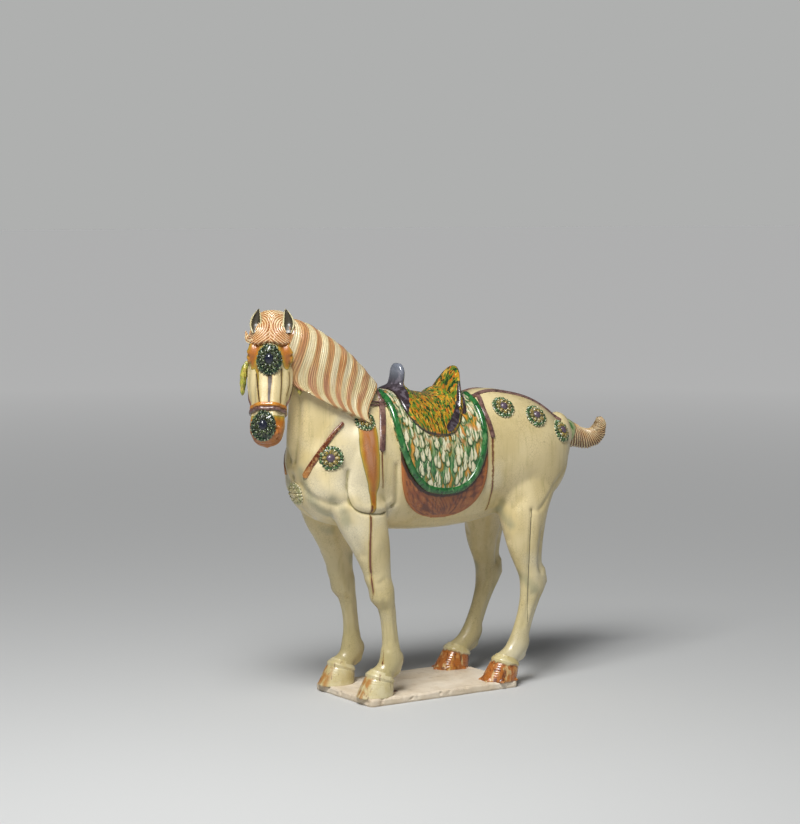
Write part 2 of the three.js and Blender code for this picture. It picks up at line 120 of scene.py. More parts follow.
def skin(rings):
    """Rings of points in a row, closed with a point at the middle of each end."""
    rings = np.asarray(rings, dtype=float)
    rows, around, _ = rings.shape
    points = np.vstack([rings.reshape(-1, 3), rings[0].mean(0), rings[-1].mean(0)])
    first, last = rows * around, rows * around + 1
    faces = []
    for i in range(rows - 1):
        for j in range(around):
            k = (j + 1) % around
            faces.append((i * around + j, i * around + k, (i + 1) * around + k, (i + 1) * around + j))
    for j in range(around):
        k = (j + 1) % around
        faces.append((first, k, j))
        faces.append((last, (rows - 1) * around + j, (rows - 1) * around + k))
    return points, faces


def unit(directions):
    return directions / np.linalg.norm(directions, axis=1, keepdims=True)


def merged(parts):
    points, faces, at = [], [], 0
    for p, f in parts:
        points.append(p)
        faces += [tuple(i + at for i in face) for face in f]
        at += len(p)
    return np.vstack(points), faces


def points_of(obj):
    co = np.empty(len(obj.data.vertices) * 3)
    obj.data.vertices.foreach_get("co", co)
    return co.reshape(-1, 3) / MM


def set_points(obj, points):
    obj.data.vertices.foreach_set("co", (points * MM).ravel())
    obj.data.update()


def normals_of(obj):
    out = np.empty(len(obj.data.vertices) * 3)
    obj.data.vertex_normals.foreach_get("vector", out)
    return out.reshape(-1, 3)


def note(obj, name, values):
    """Keeps a number at each point of the mesh."""
    layer = obj.data.attributes.new(name, "FLOAT", "POINT")
    layer.data.foreach_set("value", np.asarray(values, dtype=np.float32))


print("a unit of the model is", MM, "m")

# %% [markdown]
# ## Smoothing and fusing
# A wet sponge takes the edges off clay. Here each point moves part of the way to the mean of its neighbours.
# Closed shells that pass through each other are filled with small cubes, and one skin is drawn round them
# all.

# %% Smoothing and fusing
def neighbours(obj):
    edges = np.empty(len(obj.data.edges) * 2, dtype=np.int64)
    obj.data.edges.foreach_get("vertices", edges)
    a, b = edges.reshape(-1, 2).T
    return np.concatenate([a, b]), np.concatenate([b, a])


def averaged(values, pairs):
    """Each point's mean over its neighbours."""
    here, there = pairs
    count = np.maximum(np.bincount(here, minlength=len(values)), 1)
    if values.ndim == 1:
        return np.bincount(here, weights=values[there], minlength=len(values)) / count
    return np.stack([np.bincount(here, weights=values[there, k], minlength=len(values)) / count
                     for k in range(3)], axis=1)


def smoothed(points, pairs, times, strength=0.5):
    strength = np.asarray(strength, dtype=float)
    weight = strength if strength.ndim == 0 else strength[:, None]
    for _ in range(times):
        points = points + weight * (averaged(points, pairs) - points)
    return points


def finished(obj, body="root", replaced=()):
    """Smooth shading, and the piece rides with the CAD's one body."""
    obj.data.shade_smooth()
    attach(obj, body)
    if replaced:
        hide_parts(*replaced)
    print(f"{obj.name}: {sum(len(p.vertices) - 2 for p in obj.data.polygons)} triangles")
    return obj


def recalculated(obj):
    """Turns every face outwards."""
    bm = bmesh.new()
    bm.from_mesh(obj.data)
    bmesh.ops.recalc_face_normals(bm, faces=bm.faces)
    bm.to_mesh(obj.data)
    bm.free()
    return obj


def applied(obj):
    """The mesh becomes what its modifiers make of it."""
    made = bpy.data.meshes.new_from_object(obj.evaluated_get(bpy.context.evaluated_depsgraph_get()))
    obj.modifiers.clear()
    obj.data = made
    return obj


def solid(name, shell):
    return recalculated(mesh_object(name, *shell))


def fused(name, parts, voxel):
    """Closed shells that pass through each other, made one skin of even faces."""
    obj = solid(name, merged(parts))
    remesh = obj.modifiers.new("one skin", "REMESH")
    remesh.mode, remesh.voxel_size = "VOXEL", voxel * MM
    return applied(obj)


# %% [markdown]
# ## Sections on a string
# A horse's trunk, neck, head and legs are each a tube that swells and narrows. A sculptor would check them
# against callipers and a side view. Here each is a table of sections, read off the photograph, with a smooth
# curve through every column. A point on such a form is found by how far along it is and by its angle from
# the top.

# %% Forms
LEFT, AFT, SKY = np.array([0.0, -1, 0]), np.array([1.0, 0, 0]), np.array([0.0, 0, 1])
SLAB_LENGTH, SLAB_WIDTH, SLAB_THICK = 316, 188, 14
BODY_VOXEL, HEAD_VOXEL, SADDLE_VOXEL, SLAB_VOXEL = 2.3, 1.5, 1.8, 2.0


def curve(rows, t):
    """Smooth values at each t between the rows of a table."""
    rows = np.asarray(rows, dtype=float)
    t = np.clip(np.atleast_1d(t).astype(float), 0, len(rows) - 1)
    i = np.minimum(t.astype(int), len(rows) - 2)
    f = (t - i)[:, None]
    a, b, c, d = (rows[np.clip(i + k, 0, len(rows) - 1)] for k in (-1, 0, 1, 2))
    m, n = (c - a) / 2, (d - b) / 2
    return b + f * (m + f * (3 * (c - b) - 2 * m - n + f * (2 * (b - c) + m + n)))


class Form:
    """rows hold numbers, and place turns their columns into middle, side, up, half width, rise and drop."""

    def __init__(self, rows, place, square=2.0):
        self.rows, self.place, self.square = np.asarray(rows, dtype=float), place, square
        self.last = len(rows) - 1

    def reach(self, value):
        t = np.linspace(0, self.last, 600)
        first = curve(self.rows, t)[:, 0]
        order = np.argsort(first)
        return np.interp(value, first[order], t[order])

    def point(self, t, angle, lift=0.0):
        t, angle, lift = np.broadcast_arrays(*(np.asarray(v, float) for v in (t, angle, lift)))
        shape = t.shape
        t, angle, lift = t.ravel(), np.radians(angle.ravel()), lift.ravel()
        at, side, up, wide, rise, drop = self.place(curve(self.rows, t).T)
        c, d = np.cos(angle), np.sin(angle)
        tall = np.where(c > 0, rise, drop)
        nx, ny = c / tall, d / wide
        size = np.hypot(nx, ny)
        bow = 2 / self.square
        along_up = tall * np.sign(c) * np.abs(c) ** bow + lift * nx / size
        along_side = wide * np.sign(d) * np.abs(d) ** bow + lift * ny / size
        out = at + along_up[:, None] * up + along_side[:, None] * side
        return out.reshape(shape + (3,))

    def shell(self, around, along):
        t = np.linspace(0, self.last, along)[:, None]
        return skin(self.point(t, np.arange(around)[None, :] * 360 / around))


def whole(direction, count):
    return np.broadcast_to(direction, (count, 3))


print("slab:", SLAB_LENGTH, "x", SLAB_WIDTH, "x", SLAB_THICK, "mm")

# %% [markdown]
# ## Trunk, neck and head
# The trunk runs from the chest to the rump. The neck's sections stand between its crest and its throat. The
# head is turned to the left and tipped down, and its sections are counted down the face in its own
# directions.

# %% Trunk, neck and head
def trunk_place(r):
    middle = np.stack([r[0], 0 * r[0], SLAB_THICK + r[2] * 0.52 + r[1] * 0.48], 1)
    deep, count = r[1] - r[2], len(r[0])
    return middle, whole(LEFT, count), whole(SKY, count), r[3], deep * 0.52, deep * 0.48


TRUNK = Form(
    [  # along the back from the chest: x, height of the back, height of the belly, half width
        [-256, 416, 366, 14], [-249, 436, 344, 38], [-234, 464, 322, 58], [-210, 490, 306, 70],
        [-178, 512, 295, 77], [-140, 522, 288, 80], [-72, 522, 281, 81], [-20, 507, 277, 82],
        [40, 500, 276, 83], [90, 511, 279, 83], [135, 521, 286, 84], [180, 517, 300, 87],
        [225, 505, 320, 88], [262, 484, 344, 82], [288, 458, 368, 70],
        [303, 438, 385, 50], [311, 420, 398, 20]],
    trunk_place, 2.15)


def trunk(x, angle, lift=0.0):
    return TRUNK.point(TRUNK.reach(x), angle, lift)


def neck_place(r):
    crest = np.stack([r[0], -r[4], SLAB_THICK + r[1]], 1)
    throat = np.stack([r[2], -r[4], SLAB_THICK + r[3]], 1)
    up = crest - throat
    deep = np.linalg.norm(up, axis=1)
    return (crest + throat) / 2, whole(LEFT, len(deep)), up / deep[:, None], r[5], deep / 2, deep / 2


NECK = Form(
    [  # up the neck: the crest's x and height, the throat's x and height, the swing to the left, half width
        [-62, 500, -244, 356, 0, 66], [-76, 517, -260, 402, 0, 63], [-104, 546, -265, 448, 1, 57],
        [-141, 582, -262, 492, 4, 51], [-176, 609, -262, 528, 8, 47], [-211, 629, -270, 560, 12, 43],
        [-244, 646, -286, 588, 14, 39], [-272, 652, -300, 612, 14, 33]], neck_place)

TURN, PITCH, ROLL = math.radians(56), math.radians(68), math.radians(1.6)
POLL = np.array([-302.0, -9, SLAB_THICK + 662])
FACING = np.array([-math.cos(TURN), -math.sin(TURN), 0])
DOWN_FACE = FACING * math.cos(PITCH) - SKY * math.sin(PITCH)
OFF_FACE = FACING * math.sin(PITCH) + SKY * math.cos(PITCH)
CHEEK = np.cross(OFF_FACE, DOWN_FACE)


def head_place(r):
    count, deep = len(r[0]), (r[1] + r[2]) / 2
    at = (POLL + r[0][:, None] * (DOWN_FACE - math.tan(ROLL) * CHEEK)
          + ((r[1] - r[2]) / 2)[:, None] * OFF_FACE)
    return at, whole(CHEEK, count), whole(OFF_FACE, count), r[3], deep, deep


HEAD = Form(
    [  # down the face from the poll: distance, how far the brow stands off, how deep the jaw is, half width
        [-14, -18, 34, 10], [-6, -2, 50, 20], [14, 9, 72, 30], [40, 15, 86, 36], [66, 15, 94, 37.5],
        [92, 10, 95, 37.5], [114, 7, 88, 36.5], [130, 6, 70, 33], [148, 5, 54, 29.5], [168, 5, 48, 28.5],
        [188, 5, 47, 29.5], [204, 2, 46, 26.5], [214, -6, 41, 20], [220, -15, 32, 8]], head_place, 2.3)


def head(down, angle, lift=0.0):
    return HEAD.point(HEAD.reach(down), angle, lift)


print("forms: trunk, neck and head")

# %% [markdown]
# ## Legs
# A leg is bone and tendon below the knee and muscle above it. Its sections are narrow from front to back at
# the cannon, and swell at the knee or hock and again at the fetlock. The pastern slopes, so its sections are
# tilted.

# %% Legs
FORE_OUT, HIND_OUT, RIGHT_HIND_STEP = 64, 68, 12
FORELEG = [  # height, x, half length, half width, share of the way out to the hoof, tilt
    [26, -121, 25, 23.5, 1, 20], [34, -118, 22.5, 21, 1, 24], [41, -111, 18, 16, 1, 28],
    [49, -102, 20, 16, 1, 20], [60, -97, 21.5, 16.5, 1, 8], [75, -98, 18.5, 15, 1, 0],
    [92, -99, 15.5, 12.5, 1, 0], [122, -102, 14.5, 12, 1, 0], [146, -106, 16.5, 14, 1, 0],
    [164, -113, 21, 18.5, 1, 0], [186, -118, 25, 19.5, 1, 0], [206, -123, 25, 18.5, 0.98, 0],
    [232, -129, 30, 22, 0.96, 0], [262, -138, 38, 27, 0.94, 0], [296, -150, 47, 31, 0.9, 0],
    [340, -160, 54, 33, 0.82, 0], [380, -162, 50, 30, 0.74, 0]]
HINDLEG = [
    [26, 143, 25, 22.5, 1, 22], [33, 149, 22, 20.5, 1, 28], [40, 155, 18, 16, 1, 34],
    [48, 166, 19.5, 15.5, 1, 24], [60, 174, 20, 16, 1, 10], [78, 180, 17.5, 13.5, 1, 6],
    [110, 191, 17, 12.5, 1, 6], [140, 201, 20, 15, 1, 6], [162, 207, 25, 18.5, 1, 4],
    [180, 205, 25, 18.5, 1, 0], [200, 198, 26, 19, 0.98, 0], [228, 193, 33, 24, 0.95, 0],
    [262, 192, 41, 30, 0.9, 0], [298, 195, 50, 36, 0.8, 0], [340, 204, 64, 37, 0.7, 0],
    [384, 212, 70, 33, 0.64, 0], [420, 212, 50, 26, 0.58, 0]]


def leg_form(rows, side, out, step=0.0):
    def place(r):
        shift = step * np.clip(1 - r[0] / 200, 0, 1)
        at = np.stack([r[1] + shift, side * out * r[4], SLAB_THICK + r[0]], 1)
        tilt = np.radians(r[5])
        up = np.stack([-np.cos(tilt), 0 * tilt, np.sin(tilt)], 1)
        return at, whole(LEFT, len(tilt)), up, r[3], r[2], r[2]
    return Form(rows, place)


LEGS = {
    "fore_left": leg_form(FORELEG, -1, FORE_OUT), "fore_right": leg_form(FORELEG, 1, FORE_OUT),
    "hind_left": leg_form(HINDLEG, -1, HIND_OUT),
    "hind_right": leg_form(HINDLEG, 1, HIND_OUT, -RIGHT_HIND_STEP)}


def egg(x, y, z, long, half, tall):
    lat = np.radians(np.linspace(-88, 88, 40))[:, None]
    lon = np.radians(np.arange(60) * 6)[None, :]
    ring = np.stack(np.broadcast_arrays(long * np.cos(lat) * np.cos(lon), half * np.cos(lat) * np.sin(lon),
                                        tall * np.sin(lat) + 0 * lon), -1)
    return skin(ring + np.array([x, y, SLAB_THICK + z]))


MUSCLES = [egg(x, side * y, z, *size) for side in (-1, 1) for x, y, z, size in (
    (-144, 58, 404, (54, 27, 78)), (-201, 33, 374, (46, 38, 58)), (224, 45, 396, (74, 42, 84)),
    (-118, 60, 190, (19, 15, 24)), (288, 30, 430, (26, 34, 44)))]
print("legs and muscles:", len(LEGS), len(MUSCLES))

# %% [markdown]
# ## One skin
# The trunk, neck, legs and muscles pass through each other, as rolls of clay would. A voxel remesh makes
# them one skin of even faces. Where two of them meet, wet fingers would wipe the clay smooth, so the skin is
# relaxed there more than on the hard bones of the lower leg.

# %% The body's skin
body = fused("body", [TRUNK.shell(120, 160), NECK.shell(96, 90)]
             + [leg.shell(64, 130) for leg in LEGS.values()]
             + MUSCLES, BODY_VOXEL)
pairs = neighbours(body)
co = points_of(body)
height = co[:, 2] - SLAB_THICK
soft = np.interp(height, [0, 40, 200, 260, 320, 600], [0.1, 0.12, 0.3, 0.5, 0.5, 0.5])
flap = np.exp(-(((co[:, 0] + 144) / 62) ** 4 + ((height - 345) / 30) ** 4)) * (np.abs(co[:, 1]) > 50)
soft = soft * (1 - 0.75 * flap)
co = smoothed(co, pairs, 24, soft)
set_points(body, co)
print("body skin:", len(co), "points")

# %% [markdown]
# ## Pressing in the carving
# A loop tool and a wet thumb leave grooves, ridges and dents. Each stroke is a line of points on the skin
# with a width and a depth, and it moves the clay near it in or out. Strokes that are seen in the photograph
# are drawn along lines of sight, and the far side gets their mirror image.

# %% Strokes
def tree_of(obj):
    return BVHTree.FromPolygons([v.co for v in obj.data.vertices], [p.vertices for p in obj.data.polygons])


def seen(tree, pixels):
    """Where lines of sight through these points of the picture meet a skin, in millimetres."""
    hits = []
    for px, py in pixels:
        hit = tree.ray_cast(Vector(EYE), Vector(line_of_sight(px, py)))[0]
        if hit is not None:
            hits.append(np.array(hit) / MM)
    if len(hits) < len(pixels):
        print("missed the skin:", len(pixels) - len(hits), "of", pixels)
    return np.array(hits)


def mirrored(points):
    return points * np.array([1, -1, 1])


def distance_to(points, line, halves=None):
    """Distance of each point to a line of points, or how far inside it is where the line has half widths."""
    best = np.full(len(points), -1e9 if halves is not None else 1e9)
    for i in range(len(line) - 1):
        a, b = line[i], line[i + 1]
        ab = b - a
        t = np.clip((points - a) @ ab / max(ab @ ab, 1e-9), 0, 1)
        d = np.linalg.norm(points - (a + t[:, None] * ab), axis=1)
        if halves is None:
            best = np.minimum(best, d)
        else:
            best = np.maximum(best, halves[i] + t * (halves[i + 1] - halves[i]) - d)
    return best


def stroke(points, normals, line, width, depth):
    """Raises the clay along a line, or presses it in where depth is negative."""
    d = distance_to(points, line)
    return points + normals * (depth * np.exp(-(d / width) ** 2))[:, None]


def resampled(values, count):
    return np.interp(np.linspace(0, 1, count), np.linspace(0, 1, len(values)), values)


def smooth_line(line, count=24):
    line = np.asarray(line, dtype=float)
    return curve(line, np.linspace(0, len(line) - 1, count))


print("body points:", len(points_of(body)))

# %% [markdown]
# ## Strokes on the trunk and neck
# These are the shoulder, the elbow, the flank, the stifle and the fold of the thigh, then the hollows beside
# the windpipe and the V of the breastbone.

# %% Strokes on the trunk and neck
body_tree = tree_of(body)
BODY_STROKES = [  # points of the picture, width and depth in mm
    ([(360, 446), (353, 460), (348.5, 475)], 10, -2.2),
    ([(348.5, 472), (347, 484), (347.5, 494), (351, 504)], 5, -3.2),
    ([(351, 504), (358, 511), (370, 514), (384, 513), (393, 506)], 3.2, -4.2),
    ([(354, 499), (362, 506), (372, 508.5), (384, 507), (391, 501)], 7, 2.6),
    ([(368, 520), (373, 530), (380, 545)], 9, 1.5),
    ([(395.5, 503), (397, 486), (397, 466)], 6, -3),
    ([(350, 500), (338, 505), (322, 502), (308, 494), (300, 484)], 7, -3),
    ([(318, 470), (326, 486), (340, 494)], 12, 3),
    ([(345, 515), (352, 535), (362, 556)], 8, -2.5),
    ([(496, 497), (504, 503), (513, 504), (521, 500)], 12, -3.2),
    ([(513, 508), (512, 522), (508, 540)], 7, -2.5),
    ([(531.5, 509), (530.5, 525), (529.5, 545), (528, 570), (527.5, 590), (527.5, 620)], 2.4, -1.5),
    ([(537, 512), (536, 545), (536, 575)], 8, 1.4),
    ([(540, 610), (541, 640), (536, 660)], 3, -1.6),
    ([(532, 510), (542, 507), (553, 498), (560, 484), (565, 468)], 4.5, -2.2),
    ([(528, 500), (540, 499), (549, 490), (555, 477)], 10, 1.0),
    ([(372, 575), (377, 584), (384, 580)], 5, -1.8),
    ([(374, 600), (372, 630), (374, 652)], 3.2, -1.6),
    ([(384, 600), (387, 630), (388, 650)], 3.2, -1.8),
    ([(380, 596), (380, 628), (381, 650)], 4, 1.3),
    ([(340, 585), (343, 615), (346, 640)], 3.5, -1.6),
    ([(420, 521), (450, 521), (480, 516), (500, 508)], 10, -1.5),
]
co, normals = points_of(body), normals_of(body)
for pixels, width, depth in BODY_STROKES:
    hits = seen(body_tree, pixels)
    if len(hits) < 2:
        continue
    line = smooth_line(hits)
    co = stroke(co, normals, line, width, depth)
    co = stroke(co, normals, mirrored(line), width, depth)

THROAT_STROKES = [  # along the throat: hollows beside the windpipe, and the V of the breastbone
    ([(-258, -17, 585), (-254, -20, 545), (-256, -20, 500), (-258, -17, 460), (-262, -8, 425)], 8, -6),
    ([(-268, 0, 590), (-262, 0, 545), (-262, 0, 500), (-264, 0, 455)], 10, 3),
    ([(-205, -64, 500), (-228, -55, 465), (-248, -36, 432), (-262, -10, 404)], 10, 4),
    ([(-262, 0, 398), (-264, 0, 370), (-250, 0, 345), (-225, 0, 325)], 7, -5)]
for line, width, depth in THROAT_STROKES:
    line = smooth_line(np.array(line, dtype=float))
    for side in (line, mirrored(line)) if abs(line[0][1]) > 1 else (line,):
        co = stroke(co, normals, side, width, depth)

print("strokes of the trunk:", len(BODY_STROKES), "and of the throat:", len(THROAT_STROKES))

# %% [markdown]
# ## Strokes on the legs
# Each leg gets its fetlock's tuft, its tendons, the knee's two rows of bones or the point of the hock, and
# the coronet above the hoof.

# %% Strokes on the legs
for leg, form in LEGS.items():
    back_of_fetlock = form.point(form.reach(np.linspace(50, 66, 6)), 180)
    co = stroke(co, normals, back_of_fetlock, 9, 4)
    tuft_of_hair = form.point(form.reach(np.linspace(40, 48, 4)), 180)
    co = stroke(co, normals, tuft_of_hair, 5, 8)
    for angle in (62, -62, 118, -118):
        tendon = form.point(form.reach(np.linspace(92, 150, 10)), angle)
        co = stroke(co, normals, tendon, 4, -1.4)
    tendon = form.point(form.reach(np.linspace(84, 156, 10)), 180)
    co = stroke(co, normals, tendon, 5, 2.0)
    if leg.startswith("fore"):
        for up_leg, depth in ((203, 1.2), (186, -1.0), (168, 1.5), (152, -0.9)):
            ring = form.point(form.reach(up_leg), np.linspace(-75, 75, 13))
            co = stroke(co, normals, ring, 7, depth)
    else:
        point_of_hock = form.point(form.reach(np.array([172, 190])), 180)
        co = stroke(co, normals, point_of_hock, 9, 7)
        cord = form.point(form.reach(np.linspace(190, 262, 8)), 180)
        co = stroke(co, normals, cord, 7, 4)
        for angle in (128, -128):
            hollow = form.point(form.reach(np.linspace(192, 262, 8)), angle)
            co = stroke(co, normals, hollow, 8, -3.5)
    coronet = form.point(form.reach(31), np.linspace(0, 360, 40))
    co = stroke(co, normals, coronet, 4, 0.8)
set_points(body, smoothed(co, pairs, 1, 0.3))
body_tree = tree_of(body)
print("legs carved:", ", ".join(LEGS))

# %% [markdown]
# ## The head
# The head was moulded apart and luted on. It is made the same way as the body, in its own directions: down
# the face, towards the horse's left, and off the face. Its finer voxels carry the lids, the nostrils and the
# mouth.

# %% Head
def on_head(down, side, off):
    down, side, off = np.broadcast_arrays(*(np.asarray(v, float) for v in (down, side, off)))
    return (POLL + down[..., None] * (DOWN_FACE - math.tan(ROLL) * CHEEK) + side[..., None] * CHEEK
            + off[..., None] * OFF_FACE)


def head_egg(down, side, off, long, half, tall):
    lat = np.radians(np.linspace(-88, 88, 36))[:, None]
    lon = np.radians(np.arange(48) * 7.5)[None, :]
    return skin(on_head(down + long * np.sin(lat) + 0 * lon, side + half * np.cos(lat) * np.cos(lon),
                        off + tall * np.cos(lat) * np.sin(lon)))


HEAD_EGGS = [  # middle down, to the left and off the face, then half sizes the same ways
    (58, 29, -2, 17, 9, 11), (71, 33.5, -7, 9, 7, 7.5), (92, 27, -56, 36, 13, 32),
    (200, 19, -8, 11, 8.5, 11),
    (208, 0, -33, 10, 16, 9), (205, 0, -10, 12, 20, 14), (40, 24, -20, 22, 12, 20)]
shells = [HEAD.shell(110, 150)]
for down, side, off, *size in HEAD_EGGS:
    shells += [head_egg(down, s * side, off, *size) for s in ((1, -1) if side else (1,))]
shells.append(head_egg(26, 14, -36, 30, 24, 34))  # the nape, where the neck is luted on
skull = fused("head", shells, HEAD_VOXEL)
head_pairs = neighbours(skull)
set_points(skull, smoothed(points_of(skull), head_pairs, 16, 0.5))

HEAD_STROKES = [  # points down, to the left and off the face, then width and depth in mm
    ([(84, 13, 11), (120, 12, 9), (160, 11, 7), (185, 10, 6)], 6, 1.6),
    ([(96, 24, 0), (125, 24, -8), (155, 23, -8), (180, 22, -6)], 8, -3.2),
    ([(84, 36, -22), (104, 36, -28), (126, 33, -30), (140, 29, -30)], 4.5, 2.4),
    ([(100, 34, -40), (124, 30, -42), (150, 26, -34)], 7, -2.2),
    ([(60, 34, -20), (57, 36, -12), (60, 37, -4), (66, 36, 2)], 3, 2.2),
    ([(63, 38, -16), (61, 38.5, -9), (65, 39, -2), (72, 38, 2)], 1.5, -1.6),
    ([(66, 38, -17), (72, 40, -18), (79, 38, -12), (80, 38, -4)], 2, 1.8),
    ([(69, 40, -14), (75, 41, -12), (76, 40, -5)], 1.5, -1.3),
    ([(38, 26, 3), (46, 30, -2), (50, 34, -10)], 6, -2.6),
    ([(192, 18, 4), (196, 24, 0), (204, 26, -6), (209, 22, -14)], 2.4, 1.8),
    ([(197, 17, 2), (202, 21, -3), (206, 21, -9), (206, 17, -14)], 3.4, -5.5),
    ([(186, 30, -30), (196, 27, -27), (206, 21, -25), (214, 12, -23), (218, 0, -22)], 2.4, -3.6),
    ([(190, 29, -37), (204, 21, -34), (213, 10, -32), (216, 0, -31)], 3, 1.6),
    ([(170, 0, 6), (190, 0, 5)], 9, -0.8)]
co, normals = points_of(skull), normals_of(skull)
head_tree = tree_of(skull)


def on_skin(tree, points, lift=0.0):
    """The nearest places on a skin, and the directions out of it there."""
    spots, outs = [], []
    for p in points:
        place, out, _, _ = tree.find_nearest(Vector(np.asarray(p) * MM))
        spots.append(np.array(place) / MM + lift * np.array(out))
        outs.append(np.array(out))
    return np.array(spots), np.array(outs)


def head_line(points, count=24):
    """A smooth line on the head's skin, through points down, to the left and off the face."""
    return on_skin(head_tree, smooth_line(on_head(*np.array(points, dtype=float).T), count))[0]


for line, width, depth in HEAD_STROKES:
    for side in (1, -1):
        co = stroke(co, normals, head_line(np.array(line) * [1, side, 1]), width, depth)
set_points(skull, smoothed(co, head_pairs, 1, 0.3))
head_tree = tree_of(skull)
print("head:", len(co), "points,", len(HEAD_STROKES), "strokes")

# %% [markdown]
# ## Ears
# Each ear is a leaf of clay, pinched to a point and scooped with a thumb. Its section is a C that is open to
# the front, so it has a rim, a hollow inside and a round back.

# %% Ears
EAR_LENGTH = 42


def ear(side):
    out = -side * CHEEK
    root = POLL + 34 * DOWN_FACE + (28 if side < 0 else 25) * out + 13 * OFF_FACE
    rise = SKY - 0.1 * out - 0.2 * FACING
    rise /= np.linalg.norm(rise)
    rings, inner = [], []
    for s in np.linspace(0, 1, 34):
        half = 0.3 + 10.2 * math.sin(math.pi * min(0.2 + 0.8 * s, 1)) ** 0.85
        wall = min(2.6, half * 0.3)
        arch = math.sin(math.pi * s)
        middle = root + EAR_LENGTH * s * rise + 3 * arch * out - 1.2 * arch * FACING
        spread = np.radians(np.linspace(-78, 78, 25))
        back = np.stack([half * np.sin(spread), -half * 0.95 * np.cos(spread)], 1)
        front = np.stack([(half - wall) * np.sin(spread[::-1]),
                          -(half - wall) * 0.9 * np.cos(spread[::-1])], 1)
        depth = min(1.0, 0.12 + 2.4 * s)
        front[:, 1] = front[:, 1] * depth - (1 - depth) * half * 0.1
        both = np.vstack([back, front])
        rings.append(middle + both[:, :1] * out + both[:, 1:] * FACING)
        inner.append(np.r_[np.full(25, -2.0), np.interp(np.abs(np.degrees(spread[::-1])),
                                                        [0, 60, 78], [3, 2, -1.5])])
    points, faces = skin(np.array(rings))
    obj = recalculated(mesh_object("ear_left" if side < 0 else "ear_right", points, faces))
    note(obj, "inside", np.r_[np.concatenate(inner), -2, -2])
    return obj


ears = [ear(-1), ear(1)]
print("ears:", EAR_LENGTH, "mm")

# %% [markdown]
# ## Sheets of clay
# The forelock, mane, cloth and felt are thin sheets laid over the forms. A sheet is a grid of points on what
# it lies on, with a direction out of it, a thickness at each point, and rounded edges. Combing and weaving
# are then changes of its thickness.

# %% Sheets
def grid_normals(grid):
    du = np.gradient(grid, axis=0)
    dv = np.gradient(grid, axis=1)
    n = np.cross(du, dv)
    return n / np.maximum(np.linalg.norm(n, axis=2, keepdims=True), 1e-9)


def relaxed(grid, times):
    for _ in range(times):
        inner = (grid[:-2, 1:-1] + grid[2:, 1:-1] + grid[1:-1, :-2] + grid[1:-1, 2:]) / 4
        grid = grid.copy()
        grid[1:-1, 1:-1] = 0.5 * grid[1:-1, 1:-1] + 0.5 * inner
    return grid


def sheet(name, grid, thick, below=3.0, outward=None, marks=None, coarse=4):
    """A closed sheet: thick is its height over the grid, and its hidden underside has fewer, larger
    faces."""
    n = grid_normals(grid)
    if outward is not None and np.sum(n * outward) < 0:
        n = -n
    rows, columns, _ = grid.shape
    few_rows, few_columns = (np.unique(np.r_[np.arange(0, m - 1, coarse), m - 1]) for m in (rows, columns))
    pick = np.ix_(few_rows, few_columns)
    top = grid + n * np.asarray(thick)[..., None]
    bottom = (grid - n * below)[pick]
    index = np.arange(rows * columns).reshape(rows, columns)
    low = rows * columns + np.arange(len(few_rows) * len(few_columns)).reshape(len(few_rows), -1)
    faces = []
    for a in (index, low):
        faces += [tuple(q) for q in np.stack([a[:-1, :-1], a[1:, :-1], a[1:, 1:], a[:-1, 1:]],
                                             -1).reshape(-1, 4).tolist()]
    under = {int(a): int(b) for a, b in zip(index[pick].ravel(), low.ravel())}
    rim = np.concatenate([index[0, :], index[1:, -1], index[-1, -2::-1], index[-2:0:-1, 0]]).tolist()
    stops = [k for k, point in enumerate(rim) if point in under]
    rim += rim[:1]
    for a, b in zip(stops, stops[1:] + [len(rim) - 1]):
        here, there, middle = under[rim[a]], under[rim[b]], (a + b) // 2
        faces += [(rim[k], rim[k + 1], here if k < middle else there) for k in range(a, b)]
        faces.append((rim[middle], there, here))
    obj = recalculated(mesh_object(name, np.vstack([top.reshape(-1, 3), bottom.reshape(-1, 3)]), faces))
    for key, values in (marks or {}).items():
        note(obj, key, np.concatenate([values.ravel(), values[pick].ravel()]))
    return obj


def rounded(u, v, edge_u, edge_v):
    """Falls from 1 to 0.35 at the edges of a sheet, as a thumbed edge does. Edges are shares of its size."""
    across = np.minimum(np.minimum(u, 1 - u) / edge_u, 1)
    along = np.minimum(np.minimum(v, 1 - v) / edge_v, 1)
    near = np.minimum(across, along)
    return 0.35 + 0.65 * np.sqrt(np.clip(1 - (1 - near) ** 2, 0, 1))


print("sheets have a hidden underside and rounded edges")

# %% [markdown]
# ## Forelock
# The forelock is parted in the middle and combed out over both brows in two lobes. Its comb lines are arcs
# about each ear's root, so the distance from that root says where in the comb's stroke a point is.

# %% Forelock
COMB_FORELOCK = 3.5
FORELOCK_SPREAD = 68
u, v = np.meshgrid(np.linspace(0, 1, 230), np.linspace(0, 1, 110), indexing="ij")
share = 2 * u - 1
hem = 54.5 - 2 * np.cos(np.pi * np.minimum(2.4 * np.abs(share), 1)) - 17 * np.abs(share) ** 2.6
lock_grid = head(-10 + (hem + 10) * v, FORELOCK_SPREAD * share)
ear_root = np.where(share[..., None] > 0, POLL + 26 * DOWN_FACE + 26 * CHEEK,
                    POLL + 26 * DOWN_FACE - 26 * CHEEK)
strand = np.linalg.norm(lock_grid - ear_root, axis=2)
comb = np.cos(2 * np.pi * strand / COMB_FORELOCK)
parting = np.exp(-((share * 36) / 2.2) ** 2) * np.clip(v * 3, 0, 1)
thick = (6.0 + 2.6 * v) * rounded(u, v, 0.05, 0.06) - 0.5 * (1 - comb) - 3.4 * parting
forelock = sheet("forelock", lock_grid, thick, 3, OFF_FACE, {"strand": strand, "share": share, "down": v})


